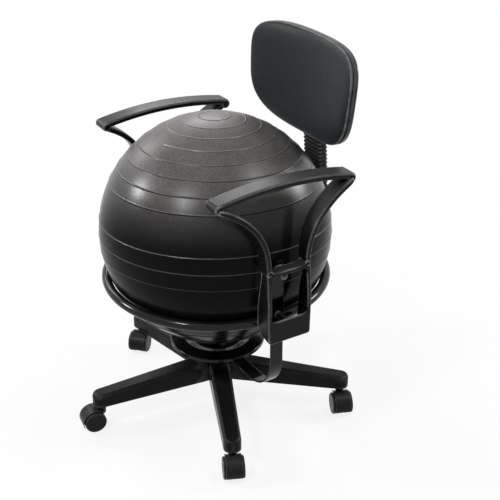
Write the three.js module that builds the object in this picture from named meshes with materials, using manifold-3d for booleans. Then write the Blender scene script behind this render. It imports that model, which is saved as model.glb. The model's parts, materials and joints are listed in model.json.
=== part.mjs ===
// Balance ball chair: an exercise ball held in a steel ring, with moulded arms, a padded backrest
// that slides on a flat steel bar, and a swivelling five-star base on twin-wheel casters.
// Millimetres, +Z up, the front of the chair faces -Y. Sizes are worked out on the swivel axis,
// and the finished group is then moved so that the middle of its footprint is the origin.
import * as THREE from "three";
import { mergeVertices, toCreasedNormals } from "three/addons/utils/BufferGeometryUtils.js";
import Module from "manifold-3d";

// Fits that several pieces share
const seatGap = 0.3; // between two pieces that touch
const runningGap = 0.5; // between two pieces that turn or slide on each other
const cutOverrun = 6; // how far a cutting tool reaches past the face it cuts
const mergeTolerance = 0.0001;

// Ball, ring and their height
const ballRadius = 260;
const ballWall = 1.2;
const ringRadius = 248.7; // centreline of the ring tube
const ringTubeRadius = 11;
const ringHeight = 343;
const valveRadius = 7;
const valveFlangeRadius = 11;
const valveDepth = 9;
const valveFlangeDepth = 2;
const valveDip = THREE.MathUtils.degToRad(58); // below the ball's waist, towards the back

// Pressed pan under the ball
const panRadius = 111;
const panCrestRadius = 81;
const panFloorRadius = 60;
const panThickness = 3;
const panCrestRise = 13.7;
const panRimDrop = 5;
const panRimWidth = 13;

// Flat steel bars
const strapThickness = 5;
const strapWidth = 30;
const strapTop = 159; // top face where the bars run level under the pan
const strapForward = 5; // the cross strap sits this far in front of the swivel axis
const strapBendRadius = 88;
const strapEndHeight = 476;
const barWidth = 40;
const barStart = 16; // the back bar begins this far behind the swivel axis
const barKneeHeight = 423;
const barKneeRise = 69; // height over which the bar kicks back below its knee
const barKneeOut = 13; // how far the bar kicks back to clear the ball
const barLean = THREE.MathUtils.degToRad(3.2); // the bar's upper run leans forward
const barTopHeight = 700;
const barBendRadius = 60;

// Five-star base
const legCount = 5;
const baseTurn = THREE.MathUtils.degToRad(-24); // the base stands turned a little under the seat
const legBottom = 61;
const legRootTop = 109;
const legTipTop = 91;
const legReach = 313;
const legRootWidth = 50;
const legTipWidth = 39;
const legWall = 3.5;
const legEdgeRadius = 9;
const legNose = 18;
const legNoseDrop = 8;
const legNoseShares = [0, 0.5, 0.85, 1];
const legRibThickness = 3;
const legRibCount = 3;
const hubRadius = 43;
const hubTopRadius = 36;
const hubTop = 125;
const hubEdgeRadius = 4;
const hubCoreRadius = 21;
const stemBossRadius = 11;
const stemBossTopGap = 2;

// Swivel
const spindleTaperRadius = 15;
const spindleTaperBottomRadius = 13.5;
const spindleFoot = 66;
const journalRadius = 12;
const spindlePinRadius = 8;
const spindleTop = 177;
const washerThickness = 3;
const thrustWasherRadius = 24;
const housingRadius = 25;
const housingFlangeRadius = 48;
const housingFlangeThickness = 4;
const retainingWasherRadius = 16;
const retainingWasherThickness = 2;
const nutHeight = 10;
const nutRadius = 13.5;

// Caster
const casterSetback = 20; // from the tip of a leg in to the caster's stem
const casterTrail = 22;
const wheelFlat = 25; // from the axle to a flat of the wheel's rim
const wheelSides = 18;
const wheelInnerFace = 5;
const wheelOuterFace = 23.4;
const wheelEdge = 1.8;
const axleRadius = 3;
const axleHalfLength = 20;
const hoodGap = 1.6;
const hoodThickness = 1.8;
const hoodHalfWidth = 18.5;
const hoodWebHalf = 4.2;
const hoodFrontAngle = THREE.MathUtils.degToRad(140);
const hoodRearAngle = THREE.MathUtils.degToRad(-23);
const hoodHubRadius = 8;
const hoodBossRadius = 8.5;
const hoodBossHeight = 9;
const stemPinRadius = 3.5;
const stemPinDrop = 7;
const stemCollarRadius = 9;
const stemCollarHeight = 1.2;
const stemRadius = 5.5;
const stemLength = 24;
const stemGrooveDepth = 0.8;
const stemGrooveHeight = 4;

// Arms
const armForward = 2; // the arms sit this far in front of the swivel axis
const armStandOff = 49; // from the strap's inner face out to the bracket's outer face
const armTopLean = 6; // how far the bracket leans inward up to its top
const padLean = 33; // how far in the pad's outer edge lies from the bracket's outer face
const bracketBottom = 322;
const bracketTop = 485;
const bracketBend = 413;
const bracketHalfWidth = 51;
const bracketBulge = 2;
const bracketTopHalfWidth = 52;
const bracketEdgeRadius = 5;
const bracketWall = 4;
const bracketTopDepth = 20;
const bracketWaistStandOff = 9; // of the inner edge, from the strap's inner face
const bracketWaistHeight = 424;
const bracketFootStandOff = 4;
const bracketFootHeight = 366;
const bracketHeelHeight = 345;
const bracketHeelRun = 34;
const bracketHeelRise = 9;
const windowHalfWidth = 44;
const windowBottom = 373;
const windowTop = 476;
const windowRadius = 10;
const crossbarHeight = bracketTop - windowTop;
const bossRadius = 8;
const tabDepth = 25; // of the tab that hangs from the crossbar to hold the upper bolt
const padTop = 664;
const padFrontReach = 155;
const padRearReach = 177;
const padPeak = 3; // the highest point of the pad is this far behind the swivel axis
const padDrop = 16;
const padPower = 1.95;
const padWidth = 45;
const padThickness = 13;
const padEdgeRadius = 6;
const padNoseShare = 0.03; // of the pad's length, where its ends are drawn in
const padTipShare = 0.6; // of the pad's width, left at its ends
const padStationShares = [0, 0.01, 0.03, 0.14, 0.28, 0.43, 0.57, 0.72, 0.86, 0.97, 0.99, 1];
const fullRoundShare = 0.45; // of a section's size, the largest corner radius that it takes
const strutFootHalf = 46.5;
const strutFootWidth = 29;
const strutFootThickness = 11;
const strutEndThickness = 13;
const strutEdgeRadius = 4;
const strutRise = 25; // how long the strut stays upright above its foot
const strutSweep = 128; // how long its upper end runs on towards the pad's end
const strutEndInset = 7;
const strutEndDrop = 12;
const strutEndSlope = THREE.MathUtils.degToRad(25);
const strutFlarePower = 0.5; // how late along its run the strut widens

// Bolts
const armBoltRadius = 3;
const armBoltHeadRadius = 6;
const armBoltDepth = 24;
const armBoltHeadDepth = 3.4;
const frameBoltRadius = 4;
const frameBoltHeadRadius = 7;
const frameBoltHeadHeight = 5;
const frameBoltSpacing = 34;
const rearBoltHalfSpacing = 12;
const rearBoltSetback = 36;

// Backrest
const backHeight = 742; // middle of the backrest
const backSetback = 251;
const backTilt = THREE.MathUtils.degToRad(5);
const backHalfWidth = 192;
const backHalfHeight = 114.5;
const backBend = 580; // radius that the backrest is curved to, seen from above
const backTaperShare = 0.041;
const backTopPower = 4.2; // how square its upper corners are
const backBottomPower = 2.9; // and its lower ones
const centreShare = 0.02;
const halfwayShare = 0.5;
const crownHeight = 20;
const cushionEdge = 8;
const cushionEdgeShares = [
  [1, 0.12],
  [0.994, 0.3],
  [1, 0.62],
]; // outline and depth down the cushion's drawn-in side
const crownShares = [
  [0.995, 0.42],
  [0.97, 0.55],
  [0.9, 0.8],
  [0.7, 0.95],
  [centreShare, 1],
]; // outline and depth over the crown
const boardThickness = 4;
const boardInset = 7;
const shellDepth = 17.3;
const shellEdge = 11.5;
const shellWall = 2.6;
const shellRimShare = 0.65;
const shellDishShares = [
  [0.985, 0.1],
  [0.95, 0.4],
  [0.75, 0.85],
  [centreShare, 1],
]; // outline and depth from the rim to the middle of the dish
const shellScrewSeatShare = 0.85; // of the dish's depth, where the screws' pillars end
const carrierHalfWidth = 29;
const carrierWall = 4;
const carrierBottomRise = 7; // above the lowest edge of the backrest
const carrierLength = 85;
const spineWall = 3.2;
const shellScrewRadius = 2;
const shellScrewHeadRadius = 5;
const shellScrewHeadHeight = 2.4;
const shellScrewAcross = 95;
const shellScrewUp = 58;
const knobRadius = 22;
const knobWaist = 18.5;
const knobThickness = 17;
const knobCollarRadius = 10;
const knobCollarLength = 6;
const knobStemRadius = 4;
const knobLobes = 6;
const knobLobeSteps = 4;
const knobGripShares = [
  [0.9, 0],
  [1, 0.15],
  [1, 0.8],
  [0.88, 1],
]; // outline and depth through the grip
const knobStandOff = 4;
const knobRise = 34; // above the bottom of the carrier

// Bellows sleeve round the back bar
const bellowsBottom = 493;
const bellowsHalfWidth = 33;
const bellowsHalfDepth = 13;
const bellowsRib = 2.4;
const bellowsPitch = 9.7;
const bellowsWall = 2.2;
const bellowsCorner = 7;

// Finishes
const finish = (color, roughness, metalness) => ({ color, roughness, metalness });
const satinNylon = finish(0x17181a, 0.5, 0);
const armPlastic = finish(0x1b1c1e, 0.42, 0);
const ballVinyl = finish(0x1d1d1e, 0.32, 0);
const paintedSteel = finish(0x0c0c0d, 0.22, 0.3);
const platedSteel = finish(0x9a9c9e, 0.3, 1);
const blackPlastic = finish(0x0f1011, 0.28, 0);
const seatVinyl = finish(0x2b2f33, 0.55, 0);
const darkRubber = finish(0x161617, 0.7, 0);
const whiteNylon = finish(0xd8d6cf, 0.5, 0);
const pineBoard = finish(0x9a7c55, 0.8, 0);

// How finely round shapes are divided
const ballSides = 32;
const ringSides = 32;
const tubeSides = 8;
const roundSides = 14;
const hubSides = 20;
const smallSides = 8;
const arcSteps = 6;
const curveSteps = 3; // along each curve of an outline
const outlineSides = 30;
const cornerSteps = 2; // round each corner of a lofted section
const windowCornerSteps = 3;
const strutSteps = 6;
const nutSides = 6;
const creaseAngle = THREE.MathUtils.degToRad(32);

// Tools for building solids
const wasm = await Module();
wasm.setup();

// A closed geometry as a solid that can be cut and joined, with its faces turned outward.
function solid(geometry, flipped = false) {
  const bare = new THREE.BufferGeometry();
  const loose = geometry.index ? geometry.toNonIndexed() : geometry;
  bare.setAttribute("position", loose.getAttribute("position").clone());
  const merged = mergeVertices(bare, mergeTolerance);
  const triangles = [];
  for (let i = 0; i < merged.index.count; i += 3) {
    const [a, b, c] = [0, 1, 2].map((corner) => merged.index.getX(i + corner));
    if (a !== b && b !== c && c !== a) triangles.push(a, flipped ? c : b, flipped ? b : c);
  }
  const made = new wasm.Manifold(
    new wasm.Mesh({
      numProp: 3,
      vertProperties: merged.attributes.position.array,
      triVerts: new Uint32Array(triangles),
    }),
  );
  return made.volume() < 0 && !flipped ? solid(geometry, true) : made;
}

// A solid as bare geometry.
function geometryOf(body) {
  const made = body.getMesh();
  const geometry = new THREE.BufferGeometry();
  geometry.setAttribute("position", new THREE.BufferAttribute(made.vertProperties, 3));
  return geometry.setIndex(new THREE.BufferAttribute(made.triVerts, 1));
}

const joined = (...solids) => solids.reduce((sum, next) => sum.add(next));
const cut = (body, ...tools) => tools.reduce((left, tool) => left.subtract(tool), body);

// A named piece with its own material, from a solid.
function piece(name, body, look) {
  const shaded = toCreasedNormals(geometryOf(body), creaseAngle);
  const mesh = new THREE.Mesh(shaded, new THREE.MeshStandardMaterial(look));
  mesh.name = name;
  return mesh;
}

const point = (x, y) => new THREE.Vector2(x, y);

// A profile of radius and height turned round Z, moved to a place on the XY plane.
function turned(profile, sides = roundSides, x = 0, y = 0) {
  const geometry = new THREE.LatheGeometry([...profile, profile[0]], sides);
  return solid(geometry.rotateX(Math.PI / 2).translate(x, y, 0));
}

// The profile of a plain disc or pin between two heights.
const discProfile = (radius, low, high) => [
  point(0, low),
  point(radius, low),
  point(radius, high),
  point(0, high),
];

const pin = (radius, low, high, x = 0, y = 0, sides = smallSides) =>
  turned(discProfile(radius, low, high), sides, x, y);

// The radius of a many-sided hole whose flats clear a round pin of this radius.
const bored = (radius, sides = smallSides) => radius / Math.cos(Math.PI / sides);

const axisX = new THREE.Vector3(1, 0, 0);
const axisY = new THREE.Vector3(0, 1, 0);
const axisZ = new THREE.Vector3(0, 0, 1);
const backward = axisY.clone().negate();

const extrusion = (shape, depth) =>
  new THREE.ExtrudeGeometry(shape, { depth, bevelEnabled: false, curveSegments: curveSteps });

// An outline drawn in Y and Z, run along X between two places.
function alongX(shape, from, to) {
  const geometry = extrusion(shape, to - from);
  const frame = new THREE.Matrix4().makeBasis(axisY, axisZ, axisX).setPosition(from, 0, 0);
  return solid(geometry.applyMatrix4(frame));
}

// An outline drawn in X and Z, run along Y between two places.
function alongY(shape, from, to) {
  const geometry = extrusion(shape, to - from);
  const frame = new THREE.Matrix4().makeBasis(axisX, axisZ, backward).setPosition(0, to, 0);
  return solid(geometry.applyMatrix4(frame));
}

// A round pin between two points in space.
function rod(from, to, radius, sides = smallSides) {
  const run = to.clone().sub(from);
  const geometry = new THREE.CylinderGeometry(radius, radius, run.length(), sides);
  const turn = new THREE.Quaternion().setFromUnitVectors(axisY, run.clone().normalize());
  const middle = from.clone().add(to).divideScalar(2);
  const frame = new THREE.Matrix4().compose(middle, turn, new THREE.Vector3(1, 1, 1));
  return solid(geometry.applyMatrix4(frame));
}

// A skin through rings of equal count, closed at both ends by a fan round the middle of the ring.
function loft(rings) {
  const count = rings[0].length;
  const vertices = [];
  const triangle = (...corners) => corners.forEach((corner) => vertices.push(...corner.toArray()));
  for (let r = 0; r + 1 < rings.length; r += 1) {
    for (let i = 0; i < count; i += 1) {
      const next = (i + 1) % count;
      triangle(rings[r][i], rings[r][next], rings[r + 1][next]);
      triangle(rings[r][i], rings[r + 1][next], rings[r + 1][i]);
    }
  }
  [rings[0], rings[rings.length - 1]].forEach((ring, end) => {
    const middle = ring.reduce((sum, corner) => sum.add(corner), new THREE.Vector3());
    middle.divideScalar(count);
    for (let i = 0; i < count; i += 1) {
      const next = (i + 1) % count;
      if (end) triangle(ring[i], ring[next], middle);
      else triangle(ring[next], ring[i], middle);
    }
  });
  const geometry = new THREE.BufferGeometry();
  geometry.setAttribute("position", new THREE.Float32BufferAttribute(vertices, 3));
  return solid(geometry);
}

// The points of a rectangle with round corners, centred on zero.
function roundRectangle(width, height, radius, steps = cornerSteps) {
  const corners = [
    [1, 1],
    [-1, 1],
    [-1, -1],
    [1, -1],
  ];
  return corners.flatMap(([across, up], corner) =>
    Array.from({ length: steps + 1 }, (_, i) => {
      const angle = (corner + i / steps) * (Math.PI / 2);
      return point(
        across * (width / 2 - radius) + radius * Math.cos(angle),
        up * (height / 2 - radius) + radius * Math.sin(angle),
      );
    }),
  );
}

// A line through corner points with each inner corner rounded to its radius.
function filleted(corners, radius) {
  const line = [corners[0]];
  for (let i = 1; i + 1 < corners.length; i += 1) {
    const before = corners[i - 1].clone().sub(corners[i]).normalize();
    const after = corners[i + 1].clone().sub(corners[i]).normalize();
    const half = Math.acos(THREE.MathUtils.clamp(before.dot(after), -1, 1)) / 2;
    const inward = before.clone().add(after).normalize();
    const centre = corners[i].clone().addScaledVector(inward, radius / Math.sin(half));
    const start = corners[i].clone().addScaledVector(before, radius / Math.tan(half)).sub(centre);
    const turn = (Math.PI - 2 * half) * Math.sign(before.cross(after)) * -1;
    for (let s = 0; s <= arcSteps; s += 1) {
      line.push(start.clone().rotateAround(point(0, 0), (turn * s) / arcSteps).add(centre));
    }
  }
  return [...line, corners[corners.length - 1]];
}

// The side outline of a flat bar of even thickness bent along a line.
function barOutline(line, thickness) {
  const side = (sign) =>
    line.map((at, i) => {
      const run = line[Math.min(i + 1, line.length - 1)].clone().sub(line[Math.max(i - 1, 0)]);
      const across = point(-run.y, run.x).normalize();
      return at.clone().addScaledVector(across, (sign * thickness) / 2);
    });
  return new THREE.Shape([...side(1), ...side(-1).reverse()]);
}

const chair = new THREE.Group();

// Heights and places that several pieces share
const ballHeight =
  ringHeight + Math.sqrt((ballRadius + ringTubeRadius + seatGap) ** 2 - ringRadius ** 2);
const strapBottom = strapTop - strapThickness;
const panFloor = strapTop + seatGap;
const strapFace = ringRadius + ringTubeRadius + seatGap; // inner face of the upright straps
const housingTop = strapBottom - seatGap;
const housingFlangeBottom = housingTop - housingFlangeThickness;
const thrustBottom = hubTop + seatGap;
const housingBottom = thrustBottom + washerThickness + seatGap;
const stemSocketTop = legBottom + stemLength;
const casterCircle = legReach - casterSetback;
const armOuterReach = strapFace + armStandOff; // outer face of the bracket
const armTopOuterReach = armOuterReach - armTopLean;
const padOuterReach = armOuterReach - padLean;
const frameBoltPlaces = [
  point(frameBoltSpacing, -strapForward),
  point(-frameBoltSpacing, -strapForward),
  point(rearBoltHalfSpacing, rearBoltSetback),
  point(-rearBoltHalfSpacing, rearBoltSetback),
];
const frameBoltHoles = frameBoltPlaces.map(({ x, y }) =>
  pin(bored(frameBoltRadius + seatGap), housingBottom, panFloor + panCrestRise, x, y),
);
const pinHole = pin(spindlePinRadius + runningGap, housingBottom, spindleTop, 0, 0, roundSides);

// Star base: tapered hollow legs with cross ribs and a keel, round a hub
const legShare = (radius) => Math.max((radius - hubRadius) / (legReach - hubRadius), 0);
const legTopAt = (radius) => THREE.MathUtils.lerp(legRootTop, legTipTop, legShare(radius));
const legWidthAt = (radius) => THREE.MathUtils.lerp(legRootWidth, legTipWidth, legShare(radius));

// One cross-section of a leg: flat below, with round upper edges, narrowing to a round nose.
function legRing(radius, inset, bottom) {
  const top = legTopAt(radius) - inset;
  const width = legWidthAt(radius) - 2 * inset;
  const toTip = legReach - inset - radius;
  const nose = toTip < legNose ? 1 - Math.sqrt(1 - (1 - toTip / legNose) ** 2) : 0;
  const half = width / 2 - nose * legNose;
  const crown = top - nose * legNoseDrop;
  const round = legEdgeRadius - inset;
  const corner = (from, side) =>
    Array.from({ length: cornerSteps + 1 }, (_, i) => {
      const angle = from + (i / cornerSteps) * (Math.PI / 2);
      return new THREE.Vector3(
        radius,
        side * (half - round) + round * Math.cos(angle),
        crown - round + round * Math.sin(angle),
      );
    });
  return [
    new THREE.Vector3(radius, half, bottom),
    ...corner(0, 1),
    ...corner(Math.PI / 2, -1),
    new THREE.Vector3(radius, -half, bottom),
  ];
}

function legLoft(start, inset, bottom) {
  const noseStart = legReach - inset - legNose;
  const noseRings = legNoseShares.map((share) => noseStart + share * legNose);
  return loft([start, ...noseRings].map((radius) => legRing(radius, inset, bottom)));
}

const legAngles = Array.from({ length: legCount }, (_, i) => baseTurn + (i * 2 * Math.PI) / legCount);

function starBase() {
  const leg = legLoft(hubRadius - 2 * legWall, 0, legBottom);
  const hollow = legLoft(hubRadius - legWall, legWall, legBottom - cutOverrun);
  const crossRib = (radius) => {
    const half = (legWidthAt(radius) - legWall) / 2;
    const top = legTopAt(radius + legRibThickness) - legWall / 2;
    const corner = legEdgeRadius / 2;
    const outline = new THREE.Shape([
      point(-half, legBottom),
      point(half, legBottom),
      point(half, top - corner),
      point(half - corner, top),
      point(corner - half, top),
      point(-half, top - corner),
    ]);
    return alongX(outline, radius, radius + legRibThickness);
  };
  const ribSpan = casterCircle - stemBossRadius - hubRadius;
  const ribs = Array.from({ length: legRibCount }, (_, i) =>
    crossRib(hubRadius + (ribSpan * (i + 1)) / (legRibCount + 1)),
  );
  const keel = alongY(
    new THREE.Shape([
      point(hubRadius - legWall, legBottom),
      point(casterCircle, legBottom),
      point(casterCircle, legTopAt(casterCircle) - legWall / 2),
      point(hubRadius - legWall, legTopAt(hubRadius) - legWall / 2),
    ]),
    -legRibThickness / 2,
    legRibThickness / 2,
  );
  const boss = pin(stemBossRadius, legBottom, stemSocketTop + stemBossTopGap, casterCircle, 0);
  const legTool = joined(cut(leg, hollow), ...ribs, keel, boss);
  const hub = turned(
    [
      point(0, legBottom),
      point(hubRadius, legBottom),
      point(hubTopRadius, hubTop - hubEdgeRadius),
      point(hubTopRadius - hubEdgeRadius, hubTop),
      point(0, hubTop),
    ],
    hubSides,
  );
  const moat = turned(
    [
      point(hubCoreRadius, legBottom - cutOverrun),
      point(hubRadius - legWall, legBottom - cutOverrun),
      point(hubTopRadius - legWall, hubTop - 2 * hubEdgeRadius),
      point(hubCoreRadius, hubTop - 2 * hubEdgeRadius),
    ],
    hubSides,
  );
  const legs = legAngles.map((angle) => solid(geometryOf(legTool).rotateZ(angle)));
  const star = joined(hub, ...legs);
  const taperHole = turned([
    point(0, legBottom - cutOverrun),
    point(spindleTaperBottomRadius + seatGap, legBottom - cutOverrun),
    point(spindleTaperBottomRadius + seatGap, spindleFoot - seatGap),
    point(spindleTaperRadius + seatGap, hubTop),
    point(spindleTaperRadius + seatGap, hubTop + cutOverrun),
    point(0, hubTop + cutOverrun),
  ]);
  const sockets = legAngles.map((angle) =>
    pin(
      bored(stemRadius + seatGap),
      legBottom - cutOverrun,
      stemSocketTop,
      casterCircle * Math.cos(angle),
      casterCircle * Math.sin(angle),
    ),
  );
  return cut(star, moat, taperHole, ...sockets);
}
chair.add(piece("star_base", starBase(), satinNylon));

// Swivel: a tapered spindle in the hub carries the housing under the seat
const spindle = turned([
  point(0, spindleFoot),
  point(spindleTaperBottomRadius, spindleFoot),
  point(spindleTaperRadius, hubTop),
  point(journalRadius, hubTop + seatGap),
  point(journalRadius, housingTop),
  point(spindlePinRadius, housingTop + seatGap),
  point(spindlePinRadius, spindleTop),
  point(0, spindleTop),
]);
chair.add(piece("swivel_spindle", spindle, platedSteel));

const thrustWasher = turned([
  point(journalRadius + runningGap, thrustBottom),
  point(thrustWasherRadius, thrustBottom),
  point(thrustWasherRadius, thrustBottom + washerThickness),
  point(journalRadius + runningGap, thrustBottom + washerThickness),
]);
chair.add(piece("thrust_washer", thrustWasher, whiteNylon));

const housing = turned([
  point(journalRadius + runningGap, housingBottom),
  point(housingRadius, housingBottom),
  point(housingRadius, housingFlangeBottom),
  point(housingFlangeRadius, housingFlangeBottom),
  point(housingFlangeRadius, housingTop),
  point(journalRadius + runningGap, housingTop),
]);
chair.add(piece("swivel_housing", cut(housing, ...frameBoltHoles), paintedSteel));

const retainingBottom = panFloor + panThickness + seatGap;
const retainingWasher = turned([
  point(spindlePinRadius + seatGap, retainingBottom),
  point(retainingWasherRadius, retainingBottom),
  point(retainingWasherRadius, retainingBottom + retainingWasherThickness),
  point(spindlePinRadius + seatGap, retainingBottom + retainingWasherThickness),
]);
chair.add(piece("retaining_washer", retainingWasher, platedSteel));

const nutBottom = retainingBottom + retainingWasherThickness + seatGap;
const nut = turned(
  [
    point(spindlePinRadius + seatGap, nutBottom),
    point(nutRadius, nutBottom),
    point(nutRadius, nutBottom + nutHeight),
    point(spindlePinRadius + seatGap, nutBottom + nutHeight),
  ],
  nutSides,
);
const roundNutBore = pin(spindlePinRadius + seatGap, nutBottom - seatGap, spindleTop, 0, 0, roundSides);
chair.add(piece("spindle_nut", cut(nut, roundNutBore), platedSteel));

// Pan: a round pressing with a raised crest, stiff enough to catch the ball
const pan = turned(
  [
    point(0, panFloor),
    point(panFloorRadius, panFloor),
    point(panCrestRadius, panFloor + panCrestRise - panThickness),
    point(panRadius - panRimWidth, panFloor + panCrestRise - panRimDrop - panThickness),
    point(panRadius - panThickness, panFloor + panCrestRise - panRimDrop - panThickness),
    point(panRadius - panThickness, panFloor + panThickness),
    point(panRadius, panFloor + panThickness),
    point(panRadius, panFloor + panCrestRise - panRimDrop),
    point(panCrestRadius, panFloor + panCrestRise),
    point(panFloorRadius - panThickness / 2, panFloor + panThickness),
    point(0, panFloor + panThickness),
  ],
  ringSides,
);
chair.add(piece("seat_pan", cut(pan, pinHole, ...frameBoltHoles), paintedSteel));

// Cross strap: one flat bar under the pan, bent up on both sides to the ring and the arms
const strapMiddle = strapTop - strapThickness / 2;
const strapSide = strapFace + strapThickness / 2;
const strapLine = filleted(
  [
    point(-strapSide, strapEndHeight),
    point(-strapSide, strapMiddle),
    point(strapSide, strapMiddle),
    point(strapSide, strapEndHeight),
  ],
  strapBendRadius,
);
const armBoltHeights = [
  ringHeight + ringTubeRadius + armBoltHeadRadius + strapThickness / 2,
  strapEndHeight - 2 * armBoltHeadRadius,
];
const sides = { left: 1, right: -1 }; // the sitter's, who faces -Y
const armBoltProfile = (grow) => [
  point(0, 0),
  point(armBoltHeadRadius + grow, 0),
  point(armBoltRadius + grow, armBoltHeadDepth),
  point(armBoltRadius + grow, armBoltDepth + grow),
  point(0, armBoltDepth + grow),
];

// A countersunk arm bolt, or the hole for it, pointing outward from the strap's inner face.
function armBolt(side, height, grow = 0) {
  const geometry = new THREE.LatheGeometry([...armBoltProfile(grow), point(0, 0)], smallSides);
  geometry.rotateZ((-side * Math.PI) / 2);
  return solid(geometry.translate(side * strapFace, -strapForward, height));
}
const armBoltHoles = Object.values(sides).flatMap((side) =>
  armBoltHeights.map((height) => armBolt(side, height, seatGap)),
);
const strapBar = alongY(
  barOutline(strapLine, strapThickness),
  -strapForward - strapWidth / 2,
  -strapForward + strapWidth / 2,
);
const crossStrap = cut(strapBar, pinHole, ...frameBoltHoles, ...armBoltHoles);
chair.add(piece("cross_strap", crossStrap, paintedSteel));

// Back bar: a wider flat bar from the pan, up behind the ring and the ball to the backrest
const barLineSetback = strapFace + strapThickness / 2;
const barKneeSetback = barLineSetback + barKneeOut;
const barSetbackAt = (height) => barKneeSetback - (height - barKneeHeight) * Math.tan(barLean);
const barLine = filleted(
  [
    point(barStart, strapMiddle),
    point(barLineSetback, strapMiddle),
    point(barLineSetback, barKneeHeight - barKneeRise),
    point(barKneeSetback, barKneeHeight),
    point(barSetbackAt(barTopHeight), barTopHeight),
  ],
  barBendRadius,
);
const backBar = alongX(barOutline(barLine, strapThickness), -barWidth / 2, barWidth / 2);
chair.add(piece("back_bar", cut(backBar, pinHole, ...frameBoltHoles), paintedSteel));

// Bolts that clamp housing, bars and pan together, each with its nut on
frameBoltPlaces.forEach(({ x, y }, i) => {
  const headTop = housingFlangeBottom - seatGap;
  const head = pin(frameBoltHeadRadius, headTop - frameBoltHeadHeight, headTop, x, y);
  const shank = pin(frameBoltRadius, headTop - frameBoltHeadHeight, retainingBottom, x, y);
  const boltNut = pin(
    frameBoltHeadRadius,
    retainingBottom,
    retainingBottom + frameBoltHeadHeight,
    x,
    y,
    nutSides,
  );
  chair.add(piece("frame_bolt_" + (i + 1), joined(head, shank, boltNut), platedSteel));
});

// Ring that the ball sits in
const ringTube = new THREE.TorusGeometry(ringRadius, ringTubeRadius, tubeSides, ringSides);
ringTube.translate(0, 0, ringHeight);
chair.add(piece("ball_ring", solid(ringTube), paintedSteel));

// Ball: a thin shell, open at its valve, and the plug in the valve
const sphere = (radius) =>
  solid(
    new THREE.SphereGeometry(radius, ballSides, ballSides / 2)
      .rotateX(Math.PI / 2)
      .translate(0, 0, ballHeight),
  );
const ballCentre = new THREE.Vector3(0, 0, ballHeight);
const valveWay = new THREE.Vector3(0, Math.cos(valveDip), -Math.sin(valveDip));
const onValve = (distance) => ballCentre.clone().addScaledVector(valveWay, distance);
const valveNeck = rod(
  onValve(ballRadius - valveDepth),
  onValve(ballRadius + cutOverrun),
  valveRadius,
  roundSides,
);
const valveSeat = rod(
  onValve(ballRadius - valveDepth),
  onValve(ballRadius - valveFlangeDepth),
  valveFlangeRadius,
  roundSides,
);
const ballShell = joined(cut(sphere(ballRadius), sphere(ballRadius - ballWall)), valveSeat);
chair.add(piece("exercise_ball", cut(ballShell, valveNeck), ballVinyl));
const plug = rod(
  onValve(ballRadius - valveDepth + seatGap),
  onValve(ballRadius - valveFlangeDepth),
  valveRadius - seatGap,
  roundSides,
);
chair.add(piece("valve_plug", plug, whiteNylon));

// Arms: a pad and two swept struts over a ladder-shaped bracket
const outerReachAt = (height) =>
  armTopOuterReach -
  ((height - bracketTop) / (padTop - bracketTop)) * (armTopOuterReach - padOuterReach);
const bracketReachAt = (height) =>
  THREE.MathUtils.mapLinear(
    Math.max(height, bracketBend),
    bracketBend,
    bracketTop,
    armOuterReach,
    armTopOuterReach,
  );
const padLength = padFrontReach + padRearReach;

function armPad() {
  const nose = padLength * padNoseShare;
  return loft(
    padStationShares.map((share) => {
      const y = -padFrontReach + share * padLength;
      const fromPeak = Math.abs(y - padPeak) / (padFrontReach + padPeak);
      const toEnd = Math.min(share, 1 - share) * padLength;
      const round = toEnd < nose ? Math.sqrt(1 - (1 - toEnd / nose) ** 2) : 1;
      const full = THREE.MathUtils.lerp(padTipShare, 1, round);
      const width = padWidth * full;
      const thickness = padThickness * Math.sqrt(full);
      const middle = padTop - padDrop * fromPeak ** padPower - padThickness / 2;
      const radius = Math.min(padEdgeRadius, width * fullRoundShare, thickness * fullRoundShare);
      return roundRectangle(width, thickness, radius).map(
        (at) => new THREE.Vector3(padOuterReach - padWidth / 2 + at.x, y, middle + at.y),
      );
    }),
  );
}

// One strut, from the bracket's corner (end -1 is the front) up to its end of the pad.
function armStrut(end) {
  const reach = end < 0 ? padFrontReach : padRearReach;
  const padEnd = end * (reach - strutEndInset);
  const drop = padDrop * (Math.abs(padEnd - padPeak) / (padFrontReach + padPeak)) ** padPower;
  const top = point(padEnd, padTop - drop - padThickness / 2 - strutEndDrop / 2);
  const foot = point(-armForward + end * strutFootHalf, bracketTop - crossbarHeight / 2);
  const slope = point(-end * Math.cos(strutEndSlope), -Math.sin(strutEndSlope));
  const spine = new THREE.CubicBezierCurve(
    foot,
    foot.clone().add(point(0, strutRise)),
    top.clone().addScaledVector(slope, strutSweep),
    top,
  );
  return loft(
    Array.from({ length: strutSteps + 1 }, (_, i) => {
      const share = i / strutSteps;
      const at = spine.getPoint(share);
      const across = spine.getTangent(share).rotateAround(point(0, 0), Math.PI / 2);
      const flare = share ** strutFlarePower;
      const width = THREE.MathUtils.lerp(strutFootWidth, padWidth - seatGap, flare);
      const thickness = THREE.MathUtils.lerp(strutFootThickness, strutEndThickness, share);
      const middle = outerReachAt(at.y) - width / 2;
      return roundRectangle(width, thickness, strutEdgeRadius).map(
        (corner) =>
          new THREE.Vector3(
            middle + corner.x,
            at.x + across.x * corner.y,
            at.y + across.y * corner.y,
          ),
      );
    }),
  );
}

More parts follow.
